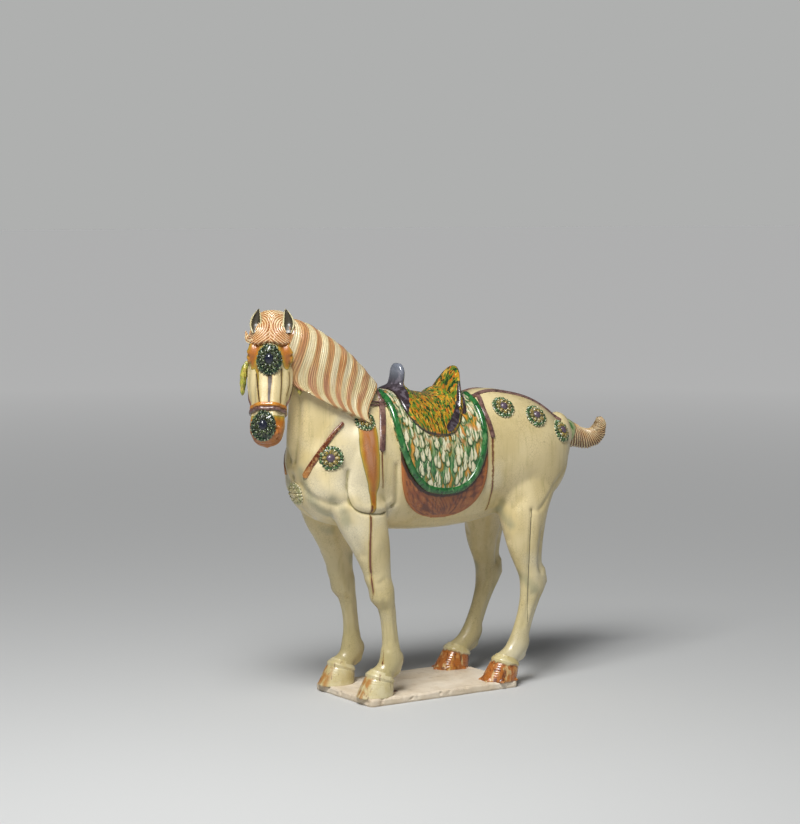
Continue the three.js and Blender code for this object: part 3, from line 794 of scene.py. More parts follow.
def rope(path, halves, heights, off, around=16, flutes=0, flute=0.0, twist=0.0):
    """A tapering rope along a smooth path. off gives the direction off the surface at each point."""
    path = np.asarray(path, float)
    along = unit(np.gradient(path, axis=0))
    off = np.broadcast_to(off, path.shape)
    across = unit(np.cross(along, off))
    off = np.cross(across, along)
    angle = np.linspace(0, 2 * np.pi, around, endpoint=False)[None, :]
    s = np.linspace(0, 1, len(path))[:, None]
    grow = 1 + flute * np.cos(flutes * (angle + twist * s))
    rings = (path[:, None] + across[:, None]
             * (np.asarray(halves)[:, None] * np.sin(angle) * grow)[..., None]
             + off[:, None] * (np.asarray(heights)[:, None] * np.cos(angle) * grow)[..., None])
    return skin(rings)


def along_path(line, count, ends):
    """A smooth path through points, and a width along it that follows the numbers in ends."""
    path = smooth_line(line, count)
    return path, resampled(ends, count)


path, halves = along_path([head(44, -40, 4), head(43, -54, 5), head(38, -65, 7),
                           head(29, -73, 10), head(19, -78, 14)],
                          60, [5.5, 5.2, 4.4, 3, 0.7])
tuft = solid("forelock_tuft", rope(path, halves, halves * 0.7, OFF_FACE, 40, 5, 0.09))
note(tuft, "strand", np.linalg.norm(points_of(tuft) - (POLL + 26 * DOWN_FACE - 26 * CHEEK), axis=1))
print("forelock comb:", COMB_FORELOCK, "mm")

# %% [markdown]
# ## Mane
# The mane falls to the left as one thick curtain of clay, combed from the crest to its hem. Each strand is a
# curve in the side view that leaves the crest, swings forward and comes back to the hem, laid on the side of
# the neck.

# %% Mane
MANE_COMB = 4.2
MANE_FRONT, MANE_BACK = -278, -96
MANE_HEM = [(-268, 574), (-240, 542), (-210, 522), (-187, 511), (-165, 499), (-143, 487)]


def neck_side(x, z):
    """The left side of the neck at points seen from the side."""
    low, high = np.zeros(len(x)), np.full(len(x), float(NECK.last))
    for _ in range(30):
        t = (low + high) / 2
        at, _, up, wide, rise, _ = neck_place(curve(NECK.rows, t).T)
        dx, dz = x - at[:, 0], z - at[:, 2]
        ahead = up[:, 0] * dz - up[:, 2] * dx
        low, high = np.where(ahead > 0, t, low), np.where(ahead > 0, high, t)
    bow = np.sqrt(np.clip(1 - ((dx * up[:, 0] + dz * up[:, 2]) / rise) ** 2, 0, 1))
    return np.stack([x, at[:, 1] - wide * bow, z], 1)


PER_LINE, ROWS, OVER = 8, 84, 14
COLUMNS = PER_LINE * 52 + 1
u = np.linspace(0, 1, COLUMNS)
crest_t = NECK.reach(MANE_FRONT + (MANE_BACK - MANE_FRONT) * u)
crest = NECK.point(crest_t, 0.0)[:, [0, 2]] - np.array([9.0, 0]) * np.clip(1 - u[:, None] * 6, 0, 1)
swing = np.array([-305.0, 594]) * (1 - u[:, None]) + np.array([-160.0, 512]) * u[:, None]
hem = curve(MANE_HEM, u * (len(MANE_HEM) - 1))
mane_grid = []
for v in np.linspace(0, 1, ROWS):
    side_view = (1 - v) ** 2 * crest + 2 * v * (1 - v) * swing + v ** 2 * hem
    mane_grid.append(neck_side(side_view[:, 0], side_view[:, 1]))
over_crest = [NECK.point(crest_t, -30 * (1 - k / OVER)) for k in range(OVER)]
mane_grid = np.array(over_crest + mane_grid).transpose(1, 0, 2)
mane_grid = relaxed(mane_grid, 40)
down = np.r_[np.linspace(-0.25, 0, OVER, endpoint=False), np.linspace(0, 1, ROWS)][None, :] + 0 * u[:, None]
line_number = np.arange(COLUMNS) / PER_LINE
strand = (line_number * MANE_COMB)[:, None] + 0 * down
picks = np.random.default_rng(7).uniform(0, 1, 60)
tone = picks[np.clip(np.round(line_number).astype(int), 0, 59)][:, None] + 0 * down
edge = rounded(u[:, None] + 0 * down, (down + 0.25) / 1.25, 0.018, 0.03)
thick = (7.5 + 7 * np.clip(down, 0, 1) ** 2) * edge
groove = 0.5 - 0.5 * np.cos(2 * np.pi * line_number)
thick -= (0.35 + 0.7 * tone) * groove[:, None] ** 2 * np.clip(edge * 1.3 - 0.3, 0, 1)
thick += 0.5 * np.cos(2 * np.pi * strand / 26) * np.clip(edge * 1.2 - 0.2, 0, 1)
mane = sheet("mane", mane_grid, thick, 4, LEFT + 0.4 * SKY, {"strand": strand, "down": down, "tone": tone})
print("mane lines:", int(line_number[-1]))

# %% [markdown]
# ## Tail
# The tail is docked: its root is wrapped, and the hair beyond is twisted and curls up. A tube with a few
# deep flutes that turn as they go looks like twisted locks.

# %% Tail
TAIL_LINE = [(292, 0, 454), (324, 0, 446), (354, 0, 436), (382, 0, 430), (403, 0, 436),
             (413, 0, 454), (411, 0, 469)]
path, halves = along_path(TAIL_LINE, 250, [24, 25, 25, 23.5, 20, 19, 18.5, 17.5, 15.5, 13, 10, 5])
s = np.linspace(0, 1, len(path))
along = unit(np.gradient(path, axis=0))
off = unit(np.cross(along, LEFT))
angle = np.linspace(0, 2 * np.pi, 140, endpoint=False)[None, :]
wrap = np.clip((0.24 - s) / 0.02, 0, 1)[:, None]
TAIL_LINES, TAIL_TURNS = 14, 31
twist = TAIL_LINES * angle + 2 * np.pi * TAIL_TURNS * s[:, None]
strands = 1.2 - 2.3 * (0.5 - 0.5 * np.cos(twist)) ** 2 + 0.5 * np.cos(twist / 4)
winding = 1.6 * np.abs(np.cos(np.pi * 9 * s[:, None] + 0.5 * angle)) ** 0.6
size = (halves[:, None] - 1.4 + (1 - wrap) * strands * np.clip(halves[:, None] / 11, 0, 1)
        + wrap * (winding + 1.0))
rings = (path[:, None] + LEFT * (size * np.sin(angle))[..., None] + off[:, None]
         * (size * np.cos(angle))[..., None])
tail = solid("tail", skin(rings))
note(tail, "wrap", np.r_[(wrap * np.ones_like(angle)).ravel(), 1, 0] * 8 - 4)
note(tail, "strand", np.r_[(0.5 - 0.5 * np.cos(twist)).ravel(), 0, 0])
print("tail:", len(path), "sections")

# %% [markdown]
# ## Saddle
# The saddle is a wooden tree covered in leather on the real animal, and one moulded piece here: an upright
# pommel, a padded seat whose skirts hang over the cloth, and a cantle that leans back. The three are fused
# and relaxed, so the seat sweeps up into both.

# %% Saddle
LUTING = 3
CLOTH = dict(middle=1, half=97, begin=48, hem=108, power=2.6)
FELT = dict(middle=4, half=91, begin=70, hem=137, power=3.4)
SEAT = dict(middle=-9, half=61, begin=30, hem=62, power=3.0)
CLOTH_THICK, FELT_THICK = 7, 5


def reach_of(laid, angle, least=0.03):
    """Half the length of a sheet on the back, at an angle down from the spine."""
    low = np.clip((np.abs(angle) - laid["begin"]) / (laid["hem"] - laid["begin"]), 0, 1)
    return laid["half"] * np.sqrt(np.maximum(1 - low ** laid["power"], least))


def laid_grid(laid, columns, rows):
    u, v = np.meshgrid(np.linspace(0, 1, columns), np.linspace(0, 1, rows), indexing="ij")
    angle = laid["hem"] * (2 * v - 1)
    return trunk(laid["middle"] + reach_of(laid, angle) * (2 * u - 1), angle), u, v, angle


def edge_of(laid, count=200):
    """The line round a sheet's edge, down one side, along the hem and up again, for each side of the
    horse."""
    turn = np.linspace(0, np.pi, count)
    angle = 4 + (laid["hem"] - 6) * np.sin(turn) ** 0.62
    x = laid["middle"] - np.sign(np.cos(turn)) * reach_of(laid, angle)
    # the middle of the hem is straight between the last points of the two sides
    flat = np.abs(turn - np.pi / 2) < 0.25
    x[flat] = np.interp(turn[flat], [turn[flat][0], turn[flat][-1]], [x[flat][0], x[flat][-1]])
    return x, angle


seat_grid, u, v, angle = laid_grid(SEAT, 90, 130)
pad = 11 + 7 * (1 - np.abs(2 * u - 1) ** 3) * np.cos(np.radians(angle)) ** 2
sweep = 7 * np.exp(-((u - 0.16) / 0.10) ** 2) * np.clip(1 - (np.abs(angle) / 32) ** 2, 0, 1)
sweep += 16 * np.exp(-((u - 0.94) / 0.14) ** 2) * np.clip(1 - (np.abs(angle) / 46) ** 2, 0, 1)
thick = (pad + sweep) * (0.55 + 0.45 * rounded(u, v, 0.05, 0.05))
seat = sheet("seat", seat_grid, thick, 3, SKY)
seat_shell = (points_of(seat), [tuple(p.vertices) for p in seat.data.polygons])
bpy.data.objects.remove(seat)

PLATES = {  # height, x, half width, half thickness
    "pommel": [[470, -74, 62, 4], [488, -67, 54, 6], [504, -58, 42, 7],
               [520, -50, 29, 7.5], [535, -46, 23, 7.8],
               [548, -43, 21, 8], [558, -42, 20, 8], [567, -42, 16, 7], [573, -42, 9, 5]],
    "cantle": [[440, 44, 70, 8], [462, 48, 70, 9.5], [488, 54, 62, 9.5],
               [504, 58, 56, 9], [520, 62, 48, 7.5],
               [536, 67, 38, 6], [550, 73, 27, 6], [560, 77, 16, 5], [565, 79, 5, 3]],
    "board": [[450, 58, 64, 8], [470, 62, 63, 10], [492, 65, 58, 10], [508, 67, 49, 9],
              [520, 69, 39, 7], [528, 70, 28, 4]]}


def plate_place(r):
    count = len(r[0])
    return (np.stack([r[1], 0 * r[1], SLAB_THICK + r[0]], 1), whole(LEFT, count),
            whole(AFT, count), r[2], r[3], r[3])


plates = [Form(rows, plate_place, 2.4).shell(80, 90) for rows in PLATES.values()]
saddle = fused("saddle", [seat_shell] + plates, SADDLE_VOXEL)
saddle_pairs = neighbours(saddle)
set_points(saddle, smoothed(points_of(saddle), saddle_pairs, 9, 0.5))
print("saddle:", len(saddle.data.vertices), "points")

# %% [markdown]
# ## Saddle cloth and felt
# Under the saddle lie a cloth with a rolled border and a longer pad of felt. The felt's weave was pressed in
# with a stamp, in slanting tucks about 5 mm long. The cloth is plain clay, and its pattern is all in the
# glaze.

# %% Cloth and felt
cloth_grid, u, v, angle = laid_grid(CLOTH, 150, 240)
fall = np.cumsum(np.linalg.norm(np.diff(cloth_grid, axis=1, prepend=cloth_grid[:, :1]), axis=2), axis=1)
fall = np.abs(fall - fall[:, -1:] / 2)
across = (2 * u - 1) * reach_of(CLOTH, angle)
cloth = sheet("saddle_cloth", cloth_grid, CLOTH_THICK * rounded(u, v, 0.02, 0.02), LUTING, SKY,
              {"across": across + 400 * (angle > 0), "fall": fall})

TUCK_LONG, TUCK_WIDE, FELT_SHOWS = 5.2, 4.2, 66
shown = np.linspace(FELT_SHOWS, FELT["hem"], 128)
felt_angle = np.r_[-shown[::-1], np.linspace(-FELT_SHOWS, FELT_SHOWS, 36)[1:-1], shown]
u, angle = np.meshgrid(np.linspace(0, 1, 200), felt_angle, indexing="ij")
over = (2 * u - 1) * reach_of(FELT, angle)
felt_grid = trunk(FELT["middle"] + over, angle)
around = np.cumsum(np.linalg.norm(np.diff(felt_grid, axis=1, prepend=felt_grid[:, :1]), axis=2), axis=1)
row = np.floor(around / TUCK_WIDE)
low = around / TUCK_WIDE - row - 0.5
along = over / TUCK_LONG + 0.5 * (row % 2) + 0.5 * low
along = along - np.floor(along) - 0.5
tuck = np.clip(1.25 - np.abs(2 * along) ** 2 - np.abs(2 * low) ** 2, 0, 1)
room = np.minimum(np.minimum(u, 1 - u) * 2 * reach_of(FELT, angle), (FELT["hem"] - np.abs(angle)) * 1.45)
rim = np.clip((room - 5) / 1.5, 0, 1)
thick = FELT_THICK * rounded(u, (angle / FELT["hem"] + 1) / 2, 0.02, 0.015) - 1.2 * rim * (1 - tuck)
thick -= 0.8 * np.exp(-((room - 5.6) / 0.9) ** 2)
felt = sheet("felt_pad", felt_grid, thick, LUTING, SKY, {"tuck": tuck * rim + 1 - rim, "room": room})

borders, hem_lines = [], []
for side in (-1, 1):
    x, turn_angle = edge_of(CLOTH)
    line = trunk(x + np.where(x < CLOTH["middle"], 1, -1) * 5.5, -side * turn_angle, CLOTH_THICK - 1.2)
    line = np.stack([averaged_line for averaged_line in (
        np.convolve(np.pad(line[:, k], 4, "edge"), np.ones(9) / 9, "valid") for k in range(3))], 1)
    off = trunk(x, -side * turn_angle, 8) - trunk(x, -side * turn_angle, 0)
    off = unit(off)
    borders.append(rope(line, np.full(len(line), 6.2), np.full(len(line), 4.6), off, 20))
    hem_lines.append(line)
note(felt, "shade", 12.5 - np.min([distance_to(points_of(felt), line[::3]) for line in hem_lines], axis=0))
border = solid("cloth_border", merged(borders))
print("felt tucks:", TUCK_LONG, "mm")

# %% [markdown]
# ## Straps
# Straps are flat strips of clay, laid on with slip. Each is swept along a line on the skin, with the skin's
# own direction as its up, so it never floats.

# %% Straps
def strap(tree, line, width=9.0, high=2.8, tip=False, step=1.5):
    line = smooth_line(line, 60)
    length = np.sum(np.linalg.norm(np.diff(line, axis=0), axis=1))
    count = max(int(length / step), 12)
    spots, outs = on_skin(tree, smooth_line(line, count))
    for _ in range(6):
        spots[1:-1] = (spots[:-2] + spots[2:]) / 4 + spots[1:-1] / 2
        outs[1:-1] = (outs[:-2] + outs[2:]) / 4 + outs[1:-1] / 2
    outs = unit(outs)
    wide = np.atleast_1d(width)
    halves = resampled(wide, count) / 2
    if tip:
        point_from = count - int(0.7 * wide[-1] / step)
        halves[point_from:] = np.linspace(wide[-1] / 2, 0.6, count - point_from)
    heights = np.full(count, high)
    heights[-1] = 0.6
    along = unit(np.gradient(spots, axis=0))
    across = unit(np.cross(along, outs))
    section = np.array([(-1, -1), (-1, 0.35), (-0.9, 0.8), (-0.7, 1), (-0.25, 1.04),
                        (0.25, 1.04), (0.7, 1), (0.9, 0.8),
                        (1, 0.35), (1, -1)])
    rings = (spots[:, None] + across[:, None] * (halves[:, None] * section[None, :, 0])[..., None]
             + outs[:, None] * (heights[:, None] * section[None, :, 1])[..., None])
    return skin(rings)


def both_sides(line):
    return [np.array(line, float), mirrored(np.array(line, float))]


def t_line(places, lift=0.0):
    """A line on the trunk through pairs of x and angle."""
    return [trunk(x, a, lift) for x, a in places]


STRAP_WIDTH = 8.5
crupper, branches, withers, chest = [], [], [], []
withers_line = seen(body_tree, [(372, 384), (380, 398), (382.5, 415), (382.5, 435), (382, 452)])
branch_line = np.vstack([trunk(98, 18), seen(body_tree, [(477.5, 396), (483, 409), (489, 423), (493, 438)])])
cross_lines = [seen(body_tree, line)
               for line in ([(367, 402), (377, 402), (387, 404)], [(368, 406), (377, 405), (387, 406.5)])]
chest_line = seen(body_tree, [(343, 423), (334, 433), (324, 447), (313, 463), (304, 478)])
for k in (0, 1):
    crupper.append(strap(body_tree,
                         both_sides(t_line([(78, 28), (104, 17), (135, 15), (175, 17), (215, 20), (250, 26),
                                                       (280, 40)]))[k], STRAP_WIDTH))
    branches.append(strap(body_tree, both_sides(branch_line)[k], STRAP_WIDTH, 3.2, tip=True))
    withers.append(strap(body_tree, both_sides(withers_line)[k], (9, 11, 13, 12.5), tip=True))
    withers += [strap(body_tree, both_sides(line)[k], 3.4, 2.6) for line in cross_lines]
    chest.append(strap(body_tree, both_sides(chest_line)[k], (6.5, 8, 10, 12), 2.6, tip=True))
knots = []
for spot in both_sides(seen(body_tree, [(381, 402), (382, 403)])):
    place, out = on_skin(body_tree, spot[:1])
    lat, lon = np.meshgrid(np.radians(np.linspace(-86, 86, 14)),
                           np.radians(np.arange(24) * 15), indexing="ij")
    ball = np.stack([6.5 * np.cos(lat) * np.cos(lon),
                     4.4 * np.cos(lat) * np.sin(lon), 5.5 * np.sin(lat)], -1)
    knots.append(skin(ball + place[0] + 1.5 * out[0]))
harness = solid("harness_straps", merged(crupper + branches + withers + knots))
chest_strap = solid("chest_strap", merged(chest))


print("straps:", len(harness.data.vertices), "points")

# %% [markdown]
# ## Bridle
# The nose band is a dark strip with an amber one above it, right round the muzzle. Cheek straps and throat
# straps run down from the forelock on both sides.

# %% Bridle
def h_line(points):
    return on_head(*np.array(points, float).T)


def band(down, width, high, lift=0.0):
    """A band right round the muzzle, at a distance down the face."""
    spots, outs = on_skin(head_tree, head(down, np.linspace(0, 360, 120, endpoint=False)), lift)
    rings = []
    for share, rise in ((-1, -0.6), (-0.95, 0.5), (-0.7, 1), (0, 1.1), (0.7, 1), (0.95, 0.5), (1, -0.6)):
        rings.append(spots + DOWN_FACE * width / 2 * share + outs * high * rise)
    rings = np.array(rings)
    points, faces = rings.reshape(-1, 3), []
    rows, n = rings.shape[:2]
    for i in range(rows):
        below = (i + 1) % rows
        for j in range(n):
            k = (j + 1) % n
            faces.append((i * n + j, i * n + k, below * n + k, below * n + j))
    return points, faces


nose_bands = [band(156.5, 7.5, 2.8), band(164, 7, 3.8)]
cheeks = [strap(head_tree,
                h_line([(40, s * 34, -18), (70, s * 40, -34), (105, s * 38, -40),
                        (157, s * 28, -26)]), 6, 2.4)
          for s in (1, -1)]
throats = [strap(head_tree, h_line([(38, s * 34, -22), (60, s * 38, -50), (92, s * 34, -78)]),
                 6, 2.2) for s in (1, -1)]
bridle = solid("bridle", merged([nose_bands[1]] + cheeks + throats))
nose_band = solid("nose_band_edge", nose_bands[0])
print("bridle:", len(bridle.data.vertices), "points")

# %% [markdown]
# ## Tassels
# A tassel hangs from the bridle at each cheek: a leaf-shaped drop with flutes, pressed in a small mould.

# %% Tassels
def tassel(side):
    top = on_head(70, side * 41, -30)
    line = [top, top - 18 * SKY + side * 5 * CHEEK, top - 38 * SKY + side * 7 * CHEEK,
            top - 58 * SKY + side * 8 * CHEEK]
    path, halves = along_path(line, 80, [2.5, 6, 9, 8.5, 9.5, 8, 8.5, 6.5, 5.5, 1.5])
    return rope(path, halves, halves * 0.62, side * CHEEK, 48, 9, 0.10, 2.5)


tassels = solid("tassels", merged([tassel(-1), tassel(1)]))
print("tassels: 2")

# %% [markdown]
# ## Medallions
# A medallion is a moulded rosette: a boss, a ring of petals, a ring of leaves and a rim of pearls on a low
# dome. Rings of equal things are what Geometry Nodes do well: one petal is made, and set out round a circle.
# Each part keeps a number, so that the glaze knows a petal from a pearl.

# %% Medallion
def add_node(tree, kind, inputs=None, **settings):
    """Adds a node, sets its settings, and gives each input a value or a link."""
    made = tree.nodes.new(kind)
    for key, value in settings.items():
        setattr(made, key, value)
    for key, value in (inputs or {}).items():
        socket = made.inputs[key]
        if isinstance(value, bpy.types.NodeSocket):
            tree.links.new(value, socket)
        else:
            socket.default_value = value
    return made


def maths(tree, kind, *values):
    return add_node(tree, "ShaderNodeMath", dict(enumerate(values)), operation=kind).outputs[0]


def combined(tree, *values):
    return add_node(tree, "ShaderNodeCombineXYZ", dict(enumerate(values))).outputs[0]


def separated(tree, vector):
    return add_node(tree, "ShaderNodeSeparateXYZ", {0: vector}).outputs


print("node helpers: add_node, maths, combined, separated")

# %% [markdown]
# ## Rosette
# The tree has four inputs: the radius, the number of petals, the number of pearls and the glaze. A drop is
# an egg with a keel, and a ring sets it out round the boss.

# %% Rosette
ROSETTE = bpy.data.node_groups.new("rosette", "GeometryNodeTree")
ROSETTE.interface.new_socket("Geometry", in_out="OUTPUT", socket_type="NodeSocketGeometry")
for label, kind in (("Radius", "NodeSocketFloat"), ("Petals", "NodeSocketInt"), ("Pearls", "NodeSocketInt"),
                    ("Glaze", "NodeSocketMaterial")):
    ROSETTE.interface.new_socket(label, in_out="INPUT", socket_type=kind)
given = ROSETTE.nodes.new("NodeGroupInput")


def share_of_radius(share):
    return maths(ROSETTE, "MULTIPLY", given.outputs["Radius"], share)


def drop(radius, scale, lean, part, detail=3):
    """An egg that is narrower at its outer end, with its part number."""
    ball = add_node(ROSETTE, "GeometryNodeMeshIcoSphere",
                    {"Radius": share_of_radius(radius), "Subdivisions": detail})
    if lean:
        where = add_node(ROSETTE, "GeometryNodeInputPosition")
        x, y, z = separated(ROSETTE, where.outputs[0])
        pinch = maths(ROSETTE, "MULTIPLY_ADD",
                      maths(ROSETTE, "DIVIDE", x, share_of_radius(radius)), -lean, 1.0)
        thin = maths(ROSETTE, "MULTIPLY", y, pinch)
        keel = maths(ROSETTE, "MULTIPLY_ADD", maths(ROSETTE, "ABSOLUTE", thin), -0.7, z)
        joined = combined(ROSETTE, x, thin, keel)
        ball = add_node(ROSETTE, "GeometryNodeSetPosition",
                        {"Geometry": ball.outputs[0], "Position": joined})
    sized = add_node(ROSETTE, "GeometryNodeTransform", {"Geometry": ball.outputs[0], "Scale": scale})
    return numbered(sized.outputs[0], part)


def numbered(geometry, part):
    return add_node(ROSETTE, "GeometryNodeStoreNamedAttribute",
                    {"Geometry": geometry, "Name": "part", "Value": part},
                    data_type="FLOAT", domain="POINT").outputs[0]


def ring(count, share, height, shape, turn=0.0):
    """Sets a shape out round a circle, each one pointing outwards."""
    circle = add_node(ROSETTE, "GeometryNodeMeshCircle",
                      {"Vertices": count, "Radius": share_of_radius(share)})
    spun = add_node(ROSETTE, "GeometryNodeTransform",
                    {"Geometry": circle.outputs[0], "Rotation": (0, 0, turn)})
    where = add_node(ROSETTE, "GeometryNodeInputPosition")
    aim = add_node(ROSETTE, "FunctionNodeAlignRotationToVector", {"Vector": where.outputs[0]},
                   axis="X", pivot_axis="Z")
    spread = add_node(ROSETTE, "GeometryNodeInstanceOnPoints", {
        "Points": spun.outputs[0], "Instance": shape, "Rotation": aim.outputs[0]})
    lift = add_node(ROSETTE, "ShaderNodeCombineXYZ", {2: share_of_radius(height)})
    return add_node(ROSETTE, "GeometryNodeTransform",
                    {"Geometry": spread.outputs[0], "Translation": lift.outputs[0]})


parts = [
    drop(1.0, (0.96, 0.96, 0.20), 0, 0.0, 5), drop(0.42, (0.92, 0.92, 0.92), 0, 4.0, 4),
    ring(given.outputs["Petals"], 0.50, 0.16, drop(0.22, (1.0, 0.95, 0.75), 0.35, 1.0)).outputs[0],
    ring(given.outputs["Petals"], 0.79, 0.10, drop(0.19, (1.0, 1.15, 0.62), -0.45, 2.0),
         math.pi / 8).outputs[0],
    ring(given.outputs["Petals"], 0.78, 0.13, drop(0.12, (1.2, 0.7, 0.9), 0.2, 2.0)).outputs[0],
    ring(given.outputs["Petals"], 0.66, 0.17, drop(0.07, (1, 1, 1), 0, 3.0, 2), math.pi / 8).outputs[0],
    ring(given.outputs["Pearls"], 0.94, 0.06, drop(0.075, (1, 1, 1), 0, 3.0, 2)).outputs[0]]
bunch = ROSETTE.nodes.new("GeometryNodeJoinGeometry")
for part in parts:
    ROSETTE.links.new(part, bunch.inputs[0])
real = add_node(ROSETTE, "GeometryNodeRealizeInstances", {"Geometry": bunch.outputs[0]})
coated = add_node(ROSETTE, "GeometryNodeSetMaterial",
                  {"Geometry": real.outputs[0], "Material": given.outputs["Glaze"]})
out = ROSETTE.nodes.new("NodeGroupOutput")
ROSETTE.links.new(coated.outputs[0], out.inputs[0])
rosette_coat = bpy.data.materials.new("lead_glaze_medallion")


print("rosette tree:", len(ROSETTE.nodes), "nodes")

# %% [markdown]
# ## Medallions
# Each medallion is pressed on to the skin where it sits: three on each side of the croup, one on each
# shoulder, three on the chest and two on the face.

# %% Medallions
def rosette(radius, petals=8, pearls=22):
    """Runs the tree and gives back the points in mm, the faces and the part numbers."""
    holder = mesh_object("rosette", [(0, 0, 0)], [])
    grown = holder.modifiers.new("rosette", "NODES")
    grown.node_group = ROSETTE
    for item in ROSETTE.interface.items_tree:
        if item.in_out == "INPUT":
            grown[item.identifier] = {"Radius": radius * MM, "Petals": petals, "Pearls": pearls,
                                      "Glaze": rosette_coat}[item.name]
    mesh = applied(holder).data
    points = np.array([v.co[:] for v in mesh.vertices]) / MM
    numbers = np.empty(len(points), dtype=np.float32)
    mesh.attributes["part"].data.foreach_get("value", numbers)
    faces = [tuple(p.vertices) for p in mesh.polygons]
    bpy.data.objects.remove(holder)
    return points, faces, numbers


def medallion(name, tree, middle, off, radius, petals=8, stretch=1.0, bend=5.0, lift=0.0, upright=SKY):
    """Presses a rosette on to a skin, so that its rim follows the skin's curve."""
    points, faces, numbers = rosette(radius, petals)
    off = off / np.linalg.norm(off)
    across = np.cross(upright, off)
    across /= np.linalg.norm(across)
    rise = np.cross(off, across)
    placed = []
    for x, y, z in points:
        y *= stretch
        spot = middle + across * x + rise * y
        hit = tree.ray_cast(Vector((spot + off * 30) * MM), Vector(-off), 0.06)[0]
        sag = -bend if hit is None else max(min((np.array(hit) / MM - middle) @ off, bend), -bend)
        placed.append(spot + off * (z + sag + lift))
    obj = mesh_object(name, placed, faces)
    note(obj, "part", numbers)
    return obj


def on_trunk(x, angle):
    middle = trunk(x, angle)
    place, out = on_skin(body_tree, [middle])
    return place[0], out[0]


CROUP_ROSETTE, SHOULDER_ROSETTE, CHEST_ROSETTE = 22.5, 20, 21.5
medallions = []
for side, word in ((-1, "left"), (1, "right")):
    for name, x, angle in (("croup_fore", 146, 43), ("croup_mid", 211, 52), ("croup_aft", 268, 64),
                           ("shoulder", -150, 50)):
        place, out = on_trunk(x, -side * angle)
        radius = SHOULDER_ROSETTE if name == "shoulder" else CROUP_ROSETTE
        medallions.append(medallion(f"medallion_{name}_{word}", body_tree, place, out, radius))
    place, out = on_skin(body_tree, [np.array([-219, side * 66, SLAB_THICK + 421])])
    medallions.append(medallion(f"medallion_chest_{word}", body_tree, place[0],
                                np.array([-0.75, side * 0.66, 0.05]), CHEST_ROSETTE))
place, out = on_skin(body_tree, [np.array([-262, 0, SLAB_THICK + 352])])
medallions.append(medallion("medallion_chest_middle", body_tree, place[0], out[0], CHEST_ROSETTE))
medallions.append(medallion("medallion_forehead", head_tree, head(81, 0), OFF_FACE, 22.5,
                            9, 1.2, 6, 1, -DOWN_FACE))
medallions.append(medallion("medallion_muzzle", head_tree, head(194, -8), OFF_FACE, 22,
                            9, 1.2, 7, 1, -DOWN_FACE))
print("medallions:", len(medallions), "of", len(medallions[0].data.polygons), "faces")

# %% [markdown]
# ## Hooves
# A hoof is a slanted cone with a rolled coronet above it and a cleft at the heel. The hind ones wear a thick
# brown glaze that ran on to the slab, so their lowest sections spread in tongues.

# %% Hooves
def hoof(name, side, out, x, top_x, ragged):
    heights = np.concatenate([[-2, 0, 0.8, 1.8, 3.2], np.linspace(5, 27, 30), np.linspace(28, 40, 26)])
    angle = np.radians(np.arange(120) * 3.0)
    rings = []
    for z in heights:
        s = np.clip(z / 32, 0, 1.2)
        middle = x + (top_x - x) * min(s, 1.1)
        long = np.interp(z, [0, 17.6, 26, 30, 34, 38, 42], [34, 28.7, 26, 25.8, 23.6, 20, 17.5])
        half = np.interp(z, [0, 17.6, 26, 30, 34, 38, 42], [27, 25, 23.4, 23.2, 21, 18.2, 16.2])
        tilt = math.radians(np.interp(z, [0, 17.6, 32], [0, 9, 20]))
        roll = 1.1 * math.exp(-((z - 31) / 3.4) ** 2) - 0.7 * math.exp(-((z - 26.4) / 1.5) ** 2)
        line = 0.12 * math.sin(z * 1.9)
        cleft = -3.2 * np.exp(-((angle - math.pi) / 0.25) ** 2) * np.clip((26 - z) / 20, 0, 1)
        spread = ragged * np.clip((4 - z) / 4, 0, 1) * np.clip(
            np.sin(angle * 7 + side) + 0.8 * np.sin(angle * 12.7 + 2 * side) - 0.15, 0, 1.6) * 3.2
        c, d = np.cos(angle), np.sin(angle)
        grow = roll + line + cleft + spread
        ahead = (long + grow) * np.sign(c) * np.abs(c) ** 0.95
        aside = (half + grow) * np.sign(d) * np.abs(d) ** 0.95
        rings.append(np.stack([middle - ahead * math.cos(tilt), side * out - aside, SLAB_THICK + z
                               + ahead * math.sin(tilt)], 1))
    obj = solid(name, skin(np.array(rings)))
    note(obj, "coat", np.r_[np.repeat(26 - heights, 120), 28, -14])
    note(obj, "toe", np.r_[np.tile(np.cos(angle), len(heights)), 0, 0])
    return obj


hooves = [hoof("hoof_fore_left", -1, FORE_OUT, -131, -119, 0),
          hoof("hoof_fore_right", 1, FORE_OUT, -131, -119, 0),
          hoof("hoof_hind_left", -1, HIND_OUT, 133, 148, 1),
          hoof("hoof_hind_right", 1, HIND_OUT, 133 - RIGHT_HIND_STEP, 148 - RIGHT_HIND_STEP, 1)]
print("hooves:", len(hooves))

# %% [markdown]
# ## Slab
# The slab was rolled out, cut with a knife and left bare. Its edges are not quite straight and are chipped,
# and its top is a little uneven.

# %% Slab
def wander(points, scale, seed=0.0):
    return np.array([noise.noise(Vector(p) / scale + Vector((seed, seed, seed))) for p in points])


def slab_shell():
    rings = []
    for z, inset in ((0, 1.2), (1.2, 0.2), (4, 0), (10, 0), (12.6, 0.5), (14, 2.2)):
        outline = []
        for k in range(4):
            cx, cy = (1, 1, -1, -1)[k], (1, -1, -1, 1)[k]
            turn = np.radians(np.linspace(90, 0, 7) - 90 * k)
            radius = 9 - inset
            outline += [(cx * (SLAB_LENGTH / 2 - 9) + radius * math.cos(a), cy * (SLAB_WIDTH / 2 - 9)
                       + radius * math.sin(a), z) for a in turn]
        rings.append(outline)
    return skin(np.array(rings, float))


